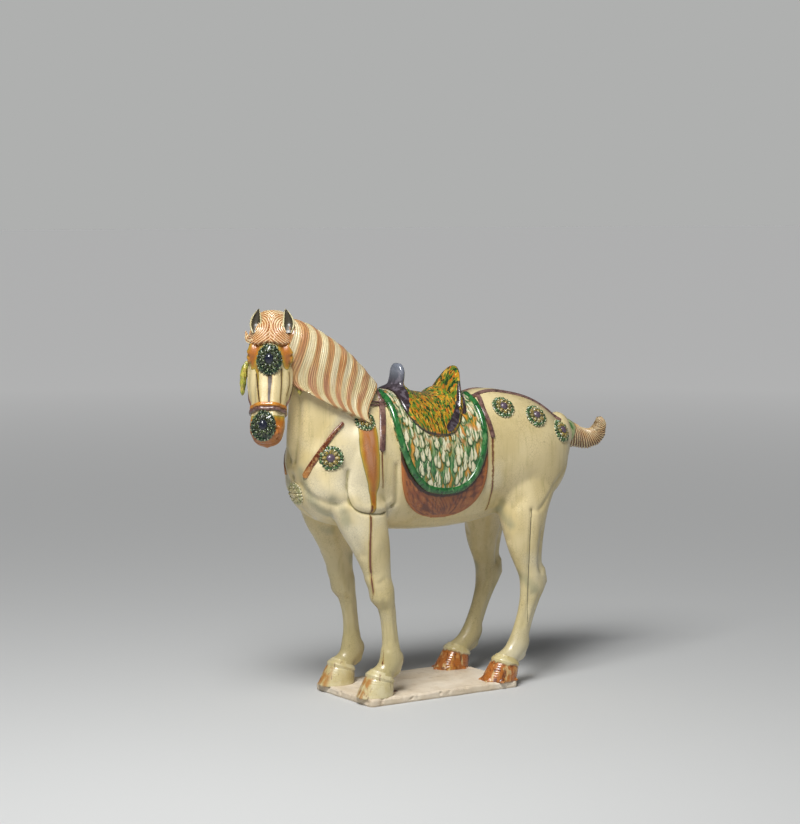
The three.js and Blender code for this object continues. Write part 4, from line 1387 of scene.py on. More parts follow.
slab = fused("slab", [slab_shell()], SLAB_VOXEL)
co = points_of(slab)
edge_x, edge_y = SLAB_LENGTH / 2 - np.abs(co[:, 0]), SLAB_WIDTH / 2 - np.abs(co[:, 1])
room = np.minimum(edge_x, edge_y)
wavy = wander(co * [1, 1, 0.3], 46, 3) * 1.6 + wander(co, 12, 7) * 0.5
chip = np.clip(wander(co, 9, 11) - 0.22, 0, 1) * 7 * np.exp(-room / 4) * (co[:, 2] > 4)
toward = np.stack([np.where(edge_x < edge_y, np.sign(co[:, 0]), 0),
                   np.where(edge_x < edge_y, 0, np.sign(co[:, 1])),
                   0 * room], 1)
co = co - toward * (np.clip(wavy + 1.2, 0.1, 4) * np.exp(-room / 12) + chip)[:, None]
on_top = co[:, 2] > 11
co[:, 2] = np.where(on_top,
                    np.minimum(co[:, 2] - 0.5 + wander(co * [1, 1, 0], 26, 5) * 0.8
                               - chip * 0.6, 14.2), co[:, 2])
co[:, 2] = np.maximum(co[:, 2], 0)
set_points(slab, co)
spill = smooth_line(seen(tree_of(slab), [(383, 690), (389, 691.5), (395, 691)]), 8)
note(slab, "spill", 5.5 - distance_to(co, spill))
print("slab:", len(co), "points")

# %% [markdown]
# ## Where the glazes ran
# The amber, brown and purple glazes were dabbed on with a brush over the cream one, and ran down as they
# melted. Each run is a line of points with a width, and every point of the skin keeps how far inside the run
# it is, in millimetres. The material turns that into a crisp, slightly ragged edge.

# %% Painting
def close_to(points, line, reach):
    return np.min(np.linalg.norm(points[:, None] - line[None, ::3], axis=2), axis=1) < reach


def inside(points, runs):
    """How far inside the nearest of these runs each point is, in mm. A run is a line and its half widths."""
    best = np.full(len(points), -40.0)
    for line, halves in runs:
        line = smooth_line(line, 30)
        halves = resampled(halves, 30)
        near = close_to(points, line, 60)
        best[near] = np.maximum(best[near], distance_to(points[near], line, halves))
    return best


def fine_lines(obj, lines, label):
    """Lines thinner than the mesh: each point keeps how far to one side of the nearest line it is, and
    how wide that is."""
    points, outs = points_of(obj), normals_of(obj)
    side, half = np.full(len(points), 30.0), np.full(len(points), -30.0)
    nearest = np.full(len(points), 1e9)
    for line, halves in lines:
        line = smooth_line(line, 40)
        halves = resampled(halves, 40)
        close = np.flatnonzero(close_to(points, line, 25))
        for i in range(39):
            ab = line[i + 1] - line[i]
            free = (points[close] - line[i]) @ ab / max(ab @ ab, 1e-9)
            t = np.clip(free, 0, 1)
            off = points[close] - (line[i] + t[:, None] * ab)
            d = np.linalg.norm(off, axis=1)
            sign = np.sign(np.sum(off * np.cross(ab, outs[close]), axis=1))
            take = d < nearest[close]
            which = close[take]
            nearest[which], side[which] = d[take], (sign * d)[take]
            half[which] = (halves[i] + t * (halves[i + 1] - halves[i]) - np.abs(free - t)
                           * np.linalg.norm(ab))[take]
    note(obj, label + "_side", side)
    note(obj, label + "_half", half - 2 * np.maximum(np.abs(side) - 6, 0))


def both(pixels, halves, tree=None):
    line = seen(tree or body_tree, pixels)
    return [(line, halves), (mirrored(line), halves)]


def hollows(obj, links, times=30):
    """How deep below its surroundings each point lies, in mm."""
    here = points_of(obj)
    return np.sum((smoothed(here, links, times) - here) * normals_of(obj), axis=1)


print("a run is a line with half widths in mm")

# %% [markdown]
# ## Runs on the body
# The wide amber run comes down from under the mane, with a thin dark drip below it. A crack of darker glaze
# follows the fold at the elbow and another runs down the hind leg.

# %% Runs on the body
RUNS = {
    "amber": both([(368.3, 430), (369.8, 444), (371, 456), (372.7, 470), (373.8, 486),
                   (373.6, 500), (372.8, 512)],
                  [18.4, 18.4, 18.4, 15.6, 11.6, 7.4, 4.4]),
    "stain": both([(330, 500), (345, 520), (352, 560), (368, 590)], [7, 10, 7, 9])
    + both([(300, 470), (312, 500), (330, 515)], [5, 9, 7]) + both([(520, 575), (535, 590)], [8, 6])
    + both([(500, 510), (510, 525)], [10, 6]),
    "green": [(np.array([(319.0, 0, 482), (323, 0, 455), (321, 0, 430)]), [20, 25, 23])]}
DRIPS = both([(372.5, 506), (371, 520), (370.3, 545), (370.5, 568), (373, 590),
              (376, 606), (379, 622), (381, 645),
              (382.5, 664)], [2.4, 2.2, 1.9, 1.7, 1.9, 1.5, 1.2, 1.3, 1.6])
DRIPS += both([(382, 450), (382.5, 468), (383, 488)], [1.6, 1.2, 0.7])
DRIPS += both([(492.5, 437), (493, 455), (493, 472), (491.5, 492), (485.5, 510)], [2.3, 2.0, 1.8, 1.6, 0.9])
CRACKS = both([(531.5, 509), (530.3, 530), (529, 560), (527.8, 590), (527.5, 622)],
              [1.1, 1.2, 1.0, 1.1, 0.6])
CRACKS += both([(347.6, 478), (347.2, 490), (350.5, 503), (358, 511), (371, 513.8),
                (384, 512.8), (392, 507)],
               [0.3, 0.5, 0.6, 0.8, 0.9, 0.8, 0.5])
MOST_TRIANGLES = 0.97 * 200000
note(body, "hollow", hollows(body, pairs, 40))
thin = body.modifiers.new("fewer faces where it is flat", "DECIMATE")
thin.ratio = MOST_TRIANGLES / (2 * len(body.data.polygons))
co = points_of(applied(body))
for name, runs in RUNS.items():
    note(body, name, inside(co, runs))
fine_lines(body, DRIPS, "drip")
fine_lines(body, CRACKS, "crack")
print("body:", len(body.data.polygons), "faces")

# %% [markdown]
# ## Glazes of the face and the saddle
# The brows and the muzzle are amber, with thin brown lines down the face. The saddle's front, its rear board
# and its rim are dark.

# %% Glazes of the face and the saddle
down = (points_of(skull) - POLL) @ DOWN_FACE
across = (points_of(skull) - POLL) @ CHEEK + down * math.tan(ROLL)
off = (points_of(skull) - POLL) @ OFF_FACE
brows = [(head_line([(52, s * 22, 8), (66, s * 29, 2), (84, s * 30, -4)]), [13, 15, 9]) for s in (1, -1)]
drips = [(head_line([(88, -25, 2), (104, -24, 4), (124, -21, 5)]), [6, 4.5, 2])]
brown = [(seen(head_tree, pixels), halves) for pixels, halves in (
    ([(256.5, 374), (257.5, 384), (258.5, 394), (259.5, 403)], [1.9, 1.7, 1.4, 1.2]),
    ([(270, 375), (269.8, 384), (269, 394), (269, 404)], [3.6, 3.0, 2.2, 1.7]),
    ([(281.5, 369), (281.5, 382), (280.8, 394), (280.5, 404)], [1.5, 1.2, 1.1, 0.9]),
    ([(289, 372), (289.5, 384), (286.5, 396)], [0.8, 0.9, 0.6]))]
note(skull, "amber", np.maximum(inside(points_of(skull), brows + drips),
                                np.clip(down - 180 + 0.3 * np.abs(across), -20, 20)))
fine_lines(skull, brown, "drip")
fine_lines(skull, [], "crack")
note(skull, "green", np.full(len(down), -20.0))
note(skull, "stain", np.where(off < -70, 0, -20))
note(skull, "hollow", hollows(skull, head_pairs))

co = points_of(saddle)
plate_x = {name: np.interp(co[:, 2] - SLAB_THICK, [r[0] for r in rows], [r[1] for r in rows])
           for name, rows in PLATES.items() if name != "board"}
tall = co[:, 2] - SLAB_THICK
front = np.where(co[:, 0] < -20, plate_x["pommel"] + 3.0 - co[:, 0], -20)
rear = np.where(co[:, 0] > 20, co[:, 0] - plate_x["cantle"] - 4.0, -20)
board = both([(459, 385), (458.5, 398), (457.5, 410), (455, 420), (450, 428)],
             [4, 5, 7, 9, 8], tree_of(saddle))
top = np.where(co[:, 0] < -20, np.minimum(tall - 556, plate_x["pommel"] + 5 - co[:, 0]), -20)
x, turn_angle = edge_of(SEAT, 120)
rim_line = [trunk(x, -side * turn_angle, 9) for side in (-1, 1)]
rim = np.max([2.8 - distance_to(co, line) for line in rim_line], axis=0)
note(saddle, "dark", np.maximum.reduce([front, rear, np.minimum(top, 6), inside(co, board)]))
note(saddle, "rim", rim)
note(saddle, "hollow", hollows(saddle, saddle_pairs, 20))
print("painted:", ", ".join(RUNS))

# %% [markdown]
# ## Lead glaze
# All the colours are one thing: a clear lead glaze, which is soft, thick and very glossy, coloured with iron
# for straw and amber, with copper for green and with a little cobalt or manganese for purple. So all the
# materials share one build: a clay-deep colour, a clear coat, a fine crackle, and a slow ripple where the
# glaze ran.

# %% Glaze
def srgb(code):
    """An sRGB hex colour as the linear one that Blender works in."""
    channels = [int(code[i:i + 2], 16) / 255 for i in (1, 3, 5)]
    return tuple(p / 12.92 if p <= 0.04045 else ((p + 0.055) / 1.055) ** 2.4 for p in channels) + (1.0,)


class Glaze:
    """A glaze in the making: its nodes, and the colour so far."""

    def __init__(self, name, first, second, size=60):
        self.material = bpy.data.materials.get(name) or bpy.data.materials.new(name)
        self.material.use_nodes = True
        self.tree = self.material.node_tree
        self.shader = self.tree.nodes["Principled BSDF"]
        self.where = add_node(self.tree, "ShaderNodeTexCoord").outputs["Object"]
        self.bumps = []
        self.colour = self.mixed(self.patches(size), srgb(first), srgb(second))

    def mixed(self, factor, first, second, kind="MIX"):
        made = add_node(self.tree, "ShaderNodeMix", {0: factor, 6: first, 7: second},
                        data_type="RGBA", blend_type=kind)
        return made.outputs[2]

    def patches(self, size, low=0.35, high=0.65, stretch=(1, 1, 1), detail=3.0, vector=None):
        """A factor from 0 to 1 in cloudy patches of a size in mm."""
        at = add_node(self.tree, "ShaderNodeMapping", {"Vector": vector or self.where, "Scale": stretch})
        cloud = add_node(self.tree, "ShaderNodeTexNoise", {
            "Vector": at.outputs[0], "Scale": 1 / (size * (MM if vector is None else 1)), "Detail": detail})
        return self.between(cloud.outputs[0], low, high)

    def between(self, value, low, high, to=(0, 1)):
        return add_node(self.tree, "ShaderNodeMapRange", {0: value, 1: low, 2: high, 3: to[0], 4: to[1]},
                        interpolation_type="SMOOTHSTEP").outputs[0]

    def number(self, name):
        """A number that the mesh keeps at its points."""
        return add_node(self.tree, "ShaderNodeAttribute", attribute_name=name).outputs["Fac"]

    def sum(self, a, b, kind="ADD"):
        return maths(self.tree, kind, a, b)

    def times(self, a, b):
        return self.sum(a, b, "MULTIPLY")

    def lay(self, factor, code, amount=1.0):
        """Lays a colour over what is there."""
        self.colour = self.mixed(self.times(factor, amount), self.colour, srgb(code))

    def dab(self, code, amount, *cloud, over=None):
        """Lays a colour in cloudy patches, everywhere or only over what a factor shows."""
        factor = self.patches(*cloud)
        self.lay(factor if over is None else self.times(over, factor), code, amount)

    def run(self, name, ragged=2.0, soft=0.5, size=9, shift=0.0):
        """1 inside a painted run, 0 outside, with an uneven edge."""
        wobble = self.patches(size, 0.0, 1.0, (1, 1, 0.35))
        edge = self.sum(self.times(wobble, ragged), shift - ragged / 2)
        return self.between(self.sum(self.number(name), edge), -soft, soft)

    def line(self, name, ragged=0.8, soft=0.4, grow=0.0):
        """1 on a thin painted line, 0 off it."""
        aside = self.sum(self.number(name + "_side"), 0.0, "ABSOLUTE")
        within = self.sum(self.number(name + "_half"), aside, "SUBTRACT")
        wobble = self.sum(self.times(self.patches(7, 0.0, 1.0), ragged), grow - ragged / 2)
        return self.between(self.sum(within, wobble), -soft, soft)

    def finish(self, rough=0.2, ripple=0.25, crackle=0.35, cells=5.0, coat=1.0, ior=1.6):
        tree = self.tree
        cell = add_node(tree, "ShaderNodeTexVoronoi", {"Vector": self.where, "Scale": 1 / (cells * MM)},
                        feature="DISTANCE_TO_EDGE")
        line = self.times(self.between(cell.outputs[0], 0.0, 0.05, (1, 0)), self.patches(30))
        self.colour = self.mixed(self.times(line, crackle), self.colour, srgb("#6b5a35"), "MULTIPLY")
        slow = self.patches(14, 0.2, 0.8, (1, 1, 0.5))
        pits = self.patches(2.2, 0.3, 0.75)
        height = self.sum(self.times(slow, ripple), self.times(pits, 0.08))
        for extra in self.bumps:
            height = self.sum(height, extra)
        bump = add_node(tree, "ShaderNodeBump", {"Height": height, "Strength": 0.5, "Distance": 0.0012})
        gloss = self.between(self.patches(25, 0.3, 0.8), 0, 1, (rough * 0.75, rough * 1.5))
        tree.links.new(self.colour, self.shader.inputs["Base Color"])
        tree.links.new(gloss, self.shader.inputs["Roughness"])
        tree.links.new(bump.outputs[0], self.shader.inputs["Normal"])
        self.shader.inputs["IOR"].default_value = ior
        self.shader.inputs["Coat Weight"].default_value = coat * 0.35
        self.shader.inputs["Coat Roughness"].default_value = 0.1
        print("glaze:", self.material.name, len(tree.nodes), "nodes")
        return self


print("glazes are made of the same few layers")

# %% [markdown]
# ## Straw glaze
# The body's glaze pools olive in the hollows, deepened there as painted shade, and is paler in broad
# patches.
# It is darker and greyer towards the ground, partly the legs' greyer glaze and partly painted shade. The
# painted runs lie over it in order, the edge of each before its middle, and a painted highlight lies high in
# the shoulder's amber run.

# %% Straw glaze
def straw(name):
    """The straw glaze of the body: uneven, streaked where it ran, olive where it is deep, with painted shade
    in the hollows and down the legs and a painted highlight on the shoulder's run.
    """
    made = Glaze(name, "#ddcb9a", "#cebb86", 70)
    far_x, _, height = separated(made.tree, made.where)
    made.dab("#a39452", 0.26, 7, 0.52, 0.75, (1, 1, 0.07))
    made.dab("#8f8a52", 0.18, 3.5, 0.58, 0.72, (1, 1, 0.05))
    # Darker and greyer towards the ground: partly the legs' greyer glaze, partly painted shade for the light
    # that falls off down the legs.
    made.lay(made.between(height, 0.36, 0.06), "#a2996c", 0.5)
    made.dab("#e4dcc2", 0.6, 120, 0.5, 0.72)
    # Olive where the skin lies deep: the glaze pooled in the hollows, deepened as painted shade.
    made.lay(made.between(made.number("hollow"), 0.3, 2.2), "#857a3c", 0.7)
    made.lay(made.run("stain", 12, 7, 18), "#85896c", 0.5)
    made.lay(made.run("amber", 2.5, 0.8), "#74762a")
    made.lay(made.run("amber", 2, 1.2, 9, -1.2), "#b8932c")
    made.lay(made.run("amber", 5, 5, 12, -6.0), "#ad661a")
    made.dab("#8a5418", 0.5, 2.6, 0.5, 0.68, (1, 1, 0.05), over=made.run("amber", 3, 2, 9, -3))
    # A painted highlight: pale pink laid high in the shoulder's amber run, as if it caught the light.
    painted_highlight = made.times(made.run("amber", 6, 4, 14, -9), made.between(height, 0.385, 0.44))
    painted_highlight = made.times(painted_highlight, made.between(far_x, -0.2, -0.19))
    made.dab("#b58c74", 0.5, 9, 0.3, 0.6, (1, 1, 0.2), over=painted_highlight)
    made.lay(made.times(made.run("amber", 4, 3, 12, -2), made.between(height, 0.39, 0.36)), "#99501a", 0.7)
    made.dab("#4f7a3e", 0.9, 6, 0.35, 0.5, (1, 1, 0.5), over=made.run("green", 9, 2, 9))
    made.lay(made.line("drip", 1.5, 1.4, 1.9), "#ab8c3c", 0.6)
    made.lay(made.line("drip", 0.8, 0.4), "#6a3016", 0.95)
    made.lay(made.times(made.line("drip", 0.8, 0.6, -0.2),
                        made.between(far_x, -0.19, -0.2)), "#2c2412", 0.85)
    made.lay(made.line("crack", 0.6, 0.6), "#544c2c", 0.85)
    return made


straw_glaze = straw("lead_glaze_straw").finish(0.42)

# %% [markdown]
# ## The other colours
# Combed hair takes amber in bands, and the comb's grooves hold more glaze and look darker. The cloth was
# dabbed with wax or white slip first, which the green ran round, so pale drops stand on a green ground.

# %% Hair glazes
def waves(made, value, pitch, shift=0.0):
    """A wave from -1 to 1, with a pitch in mm."""
    return maths(made.tree, "COSINE", maths(made.tree, "MULTIPLY_ADD", value, 2 * math.pi / pitch, shift))


def hair(name, first, second, along_scale):
    """Its glaze, its strand number, and places in mm across the strands and along them."""
    made = Glaze(name, first, second, 40)
    across_hair = made.number("strand")
    far = made.times(made.number("down"), along_scale)
    return made, across_hair, combined(made.tree, across_hair, far)


BANDS = 6.8
mane_glaze, across_hair, hair_at = hair("lead_glaze_mane", "#e3d8b4", "#d5c698", 130)
mane_width = MANE_COMB * (COLUMNS - 1) / PER_LINE
ready = mane_glaze.sum(mane_glaze.times(mane_glaze.patches(34, 0, 1, (1, 1, 0.3)), 9.0), across_hair)
wave = waves(mane_glaze, ready, mane_width / BANDS, 0.3)
streak = mane_glaze.patches(2.6, 0.42, 0.62, (1, 0.05, 1), 2.0, hair_at)
wisp = mane_glaze.patches(1.7, 0.52, 0.66, (1, 0.04, 1), 2.0, hair_at)
amber_band = mane_glaze.between(mane_glaze.sum(wave, mane_glaze.times(streak, 0.35)), 0.05, 0.5)
mane_glaze.lay(mane_glaze.between(wave, -0.6, 0.3), "#cfae70", 0.6)
mane_glaze.lay(wisp, "#bd9468", 0.55)
mane_glaze.lay(amber_band, "#bd8246", 0.92)
mane_glaze.dab("#b5826a", 0.7, 40, 0.45, 0.6, over=amber_band)
mane_glaze.lay(mane_glaze.times(amber_band, streak), "#dcb984", 0.7)
mane_glaze.lay(mane_glaze.times(amber_band, wisp), "#9a5a30", 0.75)
mane_glaze.dab("#a56a4e", 0.5, 20, 0.4, 0.65, (1, 1, 0.3), over=mane_glaze.between(wave, 0.6, 1.0))
groove = mane_glaze.between(waves(mane_glaze, across_hair, MANE_COMB), 0.25, 1.0)
mane_glaze.lay(groove, "#a88c58", 0.5)
mane_glaze.lay(mane_glaze.times(groove, amber_band), "#84502c", 0.5)
mane_glaze.finish(0.42, 0.1)

lock_glaze, across_hair, hair_at = hair("lead_glaze_forelock", "#e2d2a8", "#d2b780", 60)
lock_glaze.dab("#c58b3e", 0.8, 22, 0.40, 0.60)
lock_glaze.lay(lock_glaze.between(lock_glaze.number("down"), 0.4, 1.0), "#c67f33", 0.6)
lock_glaze.dab("#b06a2a", 0.7, 5.0, 0.5, 0.62, (1, 0.1, 1), 2.0, hair_at)
lock_wave = waves(lock_glaze, across_hair, COMB_FORELOCK)
lock_glaze.lay(lock_glaze.between(lock_wave, 0.2, 1.0), "#ead9b4", 0.55)
lock_glaze.lay(lock_glaze.between(lock_wave, 0.1, -0.8), "#8a4b26", 0.85)
lock_glaze.finish(0.38, 0.1)

tail_glaze = Glaze("lead_glaze_tail", "#e0cda0", "#d2b07a", 26)
tail_glaze.dab("#c08a58", 0.5, 14, 0.5, 0.7)
tail_glaze.lay(tail_glaze.between(tail_glaze.number("strand"), 0.3, 0.75), "#733a1c", 0.95)
tail_glaze.lay(tail_glaze.run("wrap", 3, 1, 12), "#47733b")
tail_glaze.dab("#b9c08a", 0.75, 10, 0.45, 0.6, (1, 1, 0.4), over=tail_glaze.run("wrap", 3, 1, 12))
tail_glaze.finish(0.4, 0.1)

# %% [markdown]
# ## The cloth's pattern
# The cloth keeps two numbers at each point: how far along the back it is, and how far down from the spine.
# Drops of slip are laid out in cells of these two, so they hang straight down and never stretch where the
# cloth curves.

# %% Cloth glaze
cloth_glaze = Glaze("lead_glaze_cloth", "#1f5a29", "#357a3a", 12)
surface = combined(cloth_glaze.tree, cloth_glaze.number("across"), cloth_glaze.number("fall"))


def drops(made, shift, wide, tall, size, outline, codes, soft):
    """Drops of slip, pointed at the top and round below, each with a dark line where the green pooled
    round it."""
    tree = made.tree
    warp = add_node(tree, "ShaderNodeTexNoise",
                    {"Vector": surface, "Scale": 1 / 11.0, "Detail": 2.0}).outputs[1]
    warp = add_node(tree, "ShaderNodeVectorMath", {0: warp, 1: (6, 9, 0)}, operation="MULTIPLY").outputs[0]
    moved = add_node(tree, "ShaderNodeVectorMath", {0: surface, 1: warp}, operation="ADD").outputs[0]
    scaled = add_node(tree, "ShaderNodeMapping", {
        "Vector": moved, "Location": (shift, shift, 0), "Scale": (1 / wide, 1 / tall, 1)}).outputs[0]
    cell = add_node(tree, "ShaderNodeTexVoronoi", {"Vector": scaled, "Scale": 1.0, "Randomness": 0.8},
                    voronoi_dimensions="2D")
    local = add_node(tree, "ShaderNodeVectorMath",
                     {0: scaled, 1: cell.outputs["Position"]}, operation="SUBTRACT")
    x, y, _ = separated(tree, local.outputs[0])
    chance = separated(tree, cell.outputs["Color"])[0]
    room_for_drop = made.sum(made.times(chance, 0.5), 0.65)
    taper = made.times(made.between(y, -0.62, 0.12), made.times(room_for_drop, size))
    side = made.sum(x, made.sum(taper, 0.01), "DIVIDE")
    below = made.sum(made.sum(y, 0.0, "MAXIMUM"), size * 1.15, "DIVIDE")
    far = made.sum(made.times(side, side), made.times(below, below))
    made.lay(made.between(far, 2.8, 1.5), outline, 0.9)
    made.lay(made.between(far, 1.0 + soft, 1.0 - soft), codes[0])
    made.lay(made.between(far, 0.6, 0.0), codes[1], 0.8)


cloth_glaze.dab("#9dba82", 0.8, 3.4, 0.46, 0.6, (1, 0.12, 1), 2.0, surface)
cloth_glaze.dab("#0c3018", 0.9, 2.6, 0.54, 0.62, (1, 0.10, 1), 2.0, surface)
near_top = cloth_glaze.between(cloth_glaze.number("fall"), 136, 100)
cloth_glaze.dab("#dccfa6", 0.85, 16, 0.35, 0.6, (1, 1, 0.7), over=near_top)
drops(cloth_glaze, 37.0, 22.0, 40.0, 0.26, "#8a7a26", ("#c8862a", "#d8a04c"), 0.6)
drops(cloth_glaze, 0.0, 14.5, 27.0, 0.33, "#143f1d", ("#d9d2a8", "#e9e3c6"), 0.4)
drops(cloth_glaze, 61.0, 18.0, 33.0, 0.2, "#1c4a22", ("#d4d0a6", "#e6e1c2"), 0.45)
cloth_glaze.dab("#2c6a30", 0.85, 3.4, 0.53, 0.62, (1, 0.14, 1), 2.0, surface)
cloth_glaze.dab("#d08a48", 0.7, 9, 0.52, 0.68, (1, 1, 0.5), over=near_top)
cloth_glaze.finish(0.24, 0.35, 0.2)

# %% [markdown]
# ## Border, felt and saddle
# The tucks of the felt are darker where the glaze pooled between them. The saddle's streaks fan out from the
# middle of the seat, and its pommel, its rear board and its rim are a dark purple.

# %% Border, felt and saddle glazes
green_glaze = Glaze("lead_glaze_green", "#1d5a2b", "#2c6f35", 16)
green_glaze.dab("#6f9c62", 0.6, 9, 0.52, 0.68, (1, 1, 0.4))
green_glaze.dab("#0c3219", 0.7, 6, 0.55, 0.62)
green_glaze.finish(0.14, 0.3, 0.2)

felt_glaze = Glaze("lead_glaze_felt", "#a5602c", "#8f4c26", 18)
felt_glaze.dab("#bb7d44", 0.5, 7, 0.54, 0.7)
felt_glaze.lay(felt_glaze.between(felt_glaze.number("tuck"), 0.8, 0.0), "#552418", 0.8)
felt_glaze.lay(felt_glaze.between(felt_glaze.number("tuck"), 0.9, 1.0), "#bb7a42", 0.35)
felt_glaze.lay(felt_glaze.between(felt_glaze.number("room"), 6.4, 5.0), "#a9601e", 0.8)
felt_glaze.lay(felt_glaze.run("shade", 3, 1.5, 8), "#25110d", 0.9)
felt_glaze.finish(0.34, 0.1)

saddle_glaze = Glaze("lead_glaze_saddle", "#bd8c22", "#a27716", 12)
x, y, z = separated(saddle_glaze.tree, saddle_glaze.where)
dx, dz = saddle_glaze.sum(x, -0.008), saddle_glaze.sum(z, -0.33)
spoke = saddle_glaze.times(saddle_glaze.sum(dx, dz, "ARCTAN2"), 190.0)
far_out = add_node(saddle_glaze.tree, "ShaderNodeVectorMath", {
    0: combined(saddle_glaze.tree, dx, dz)}, operation="LENGTH").outputs["Value"]
fan = combined(saddle_glaze.tree, spoke, saddle_glaze.times(far_out, 1000.0), saddle_glaze.times(y, 500.0))
saddle_glaze.dab("#c8641c", 0.85, 4.6, 0.54, 0.60, (1, 0.32, 1), 1.5, fan)
saddle_glaze.dab("#dcb84a", 0.8, 4.2, 0.57, 0.63, (1, 0.3, 1), 1.5, fan)
saddle_glaze.dab("#4d7a26", 0.9, 4.0, 0.50, 0.56, (1, 0.24, 1), 2.0, fan)
saddle_glaze.dab("#153d1b", 0.95, 3.2, 0.53, 0.58, (1, 0.22, 1), 2.0, fan)
leather = saddle_glaze.run("dark", 1.5, 0.7, 8, -0.8)
saddle_glaze.lay(leather, "#33282d")
saddle_glaze.dab("#6f666f", 0.7, 10, 0.46, 0.66, over=leather)
# A painted highlight: the dark glaze turns bluish grey towards the tops of the pommel and the cantle.
saddle_glaze.lay(saddle_glaze.times(leather, saddle_glaze.between(z, 0.545, 0.58)), "#8a93a0", 0.6)
saddle_glaze.lay(saddle_glaze.run("rim", 0.8, 0.5, 8), "#2a2018", 0.9)
saddle_glaze.finish(0.2, 0.3, 0.2)

# %% [markdown]
# ## Straps, medallions, ears and hooves
# The straps are a thin purple brown. A medallion's petals, leaves and pearls each take a colour by their
# part number, and a few blots run over them. The hind hooves' thick brown ran over pale clay, and the fore
# ones only have stains.

# %% Small pieces' glazes
strap_glaze = Glaze("lead_glaze_strap", "#644640", "#86685e", 12)
strap_glaze.dab("#3a2527", 0.75, 5, 0.52, 0.68)
strap_glaze.dab("#8a5a34", 0.5, 16, 0.60, 0.7)
strap_glaze.finish(0.2, 0.25, 0.2)

chest_glaze = Glaze("lead_glaze_brown_amber", "#70351a", "#5c2a14", 14)
low_down = separated(chest_glaze.tree, chest_glaze.where)[2]
chest_glaze.lay(chest_glaze.between(low_down, 0.425, 0.40), "#c07f34", 0.95)
chest_glaze.dab("#e0b877", 0.35, 5, 0.5, 0.66)
chest_glaze.finish(0.22, 0.25, 0.2)

amber_glaze = Glaze("lead_glaze_amber", "#b5701f", "#c98a35", 14)
amber_glaze.dab("#7a4014", 0.6, 8, 0.52, 0.66, (1, 1, 0.4))
amber_glaze.finish(0.17, 0.25, 0.2)

tassel_glaze = Glaze("lead_glaze_tassel", "#9aa33f", "#c4b052", 9)
tassel_glaze.dab("#5a6a26", 0.7, 5, 0.52, 0.66, (1, 1, 0.3))
tassel_glaze.finish(0.17, 0.25, 0.2)


def medallion_colours(name, base, boss, petal, leaf, pearl, spots):
    made = Glaze(name, base, base, 9)
    kind_of_part = made.number("part")
    for low, code in ((0.5, petal), (1.5, leaf), (2.5, pearl), (3.5, boss)):
        made.lay(made.between(kind_of_part, low - 0.05, low + 0.05), code)
    made.lay(made.times(made.patches(3.2, 0.50, 0.60), made.between(kind_of_part, 3.6, 3.4)), spots[0], 0.65)
    made.lay(made.times(made.patches(2.6, 0.56, 0.64), made.between(kind_of_part, 3.6, 3.4)), spots[1], 0.7)
    return made


medallion_glaze = medallion_colours("lead_glaze_medallion", "#22331c", "#5a4a58",
                                    "#8f7a38", "#3c6636", "#cfc8a2",
                  ("#1f3d1d", "#bfb88a")).finish(0.28, 0.2, 0.1)
face_medallion_glaze = medallion_colours(
    "lead_glaze_face_medallion", "#0e120b", "#1b1e2d", "#262c16", "#17301b", "#7c8460",
    ("#0d1a0e", "#7f8e62")).finish(0.2, 0.2, 0.1)

ear_glaze = Glaze("lead_glaze_ear", "#d0c79e", "#bdb184", 20)
ear_glaze.lay(ear_glaze.run("inside", 0.6, 0.5, 5), "#4a4328", 0.9)
ear_glaze.lay(ear_glaze.run("inside", 0.6, 0.8, 5, -1.6), "#2a2418", 0.8)
ear_glaze.finish(0.55, 0.0)

fore_hoof_glaze = Glaze("lead_glaze_fore_hoof", "#d8cca2", "#c7b67e", 24)
toe = fore_hoof_glaze.sum(fore_hoof_glaze.number("toe"), 0.0, "ABSOLUTE")
fore_hoof_glaze.lay(fore_hoof_glaze.times(fore_hoof_glaze.between(toe, 0.72, 0.97),
                                          fore_hoof_glaze.times(fore_hoof_glaze.run("coat", 6, 2),
                                              fore_hoof_glaze.patches(9, 0.35, 0.6, (1, 1, 0.3)))),
    "#b0742c", 0.9)
fore_hoof_glaze.dab("#7a4a34", 0.6, 5, 0.6, 0.7, (1, 1, 0.12))
fore_hoof_glaze.finish(0.4, 0.1)
hind_hoof_glaze = Glaze("lead_glaze_hind_hoof", "#d8cc9f", "#c7b67e", 16)
ran = hind_hoof_glaze.run("coat", 7, 1.4, 12)
hind_hoof_glaze.lay(hind_hoof_glaze.run("coat", 7, 1.4, 12, 1.4), "#6a3514", 0.8)
hind_hoof_glaze.lay(ran, "#b0682a")
for spread, low, high, code, amount in ((12, 0.52, 0.66, "#cf9548", 0.8), (7, 0.56, 0.64, "#dcc88e", 0.6),
                                         (8, 0.54, 0.64, "#5c2a12", 0.85)):
    hind_hoof_glaze.dab(code, amount, spread, low, high, (1, 1, 0.28), over=ran)
hind_hoof_glaze.finish(0.3, 0.2)

pale_medallion_glaze = medallion_colours(
    "lead_glaze_pale_medallion", "#b0a678", "#cdbf94", "#c8bc8a", "#aead7c", "#ddd4b2",
                  ("#8a8b58", "#d8cfa8")).finish(0.35, 0.1)

# %% [markdown]
# ## Bare clay
# The slab has no glaze. The fired clay is a pale pinkish buff, dry and matt, with iron specks and grey dust
# worn into it, and it shows the marks of the board it was rolled on.

# %% Clay
clay = Glaze("bare_earthenware", "#e2d4be", "#d5c4aa", 40)
clay.dab("#bba68a", 0.5, 16, 0.55, 0.75)
clay.dab("#7a5c44", 0.6, 2.6, 0.66, 0.72)
clay.dab("#eee4d2", 0.6, 90, 0.5, 0.7)
clay.lay(clay.run("spill", 3, 0.8, 6), "#5a3040", 0.9)
clay.finish(0.75, 0.5, 0.0, 5.0, 0.0, 1.5)
clay.shader.inputs["Roughness"].default_value = 0.85

# %% [markdown]
# ## Dressing the pieces
# Each piece takes its glaze, is shaded smooth, and rides on the CAD's one body. The body's skin stands for
# the CAD solid.

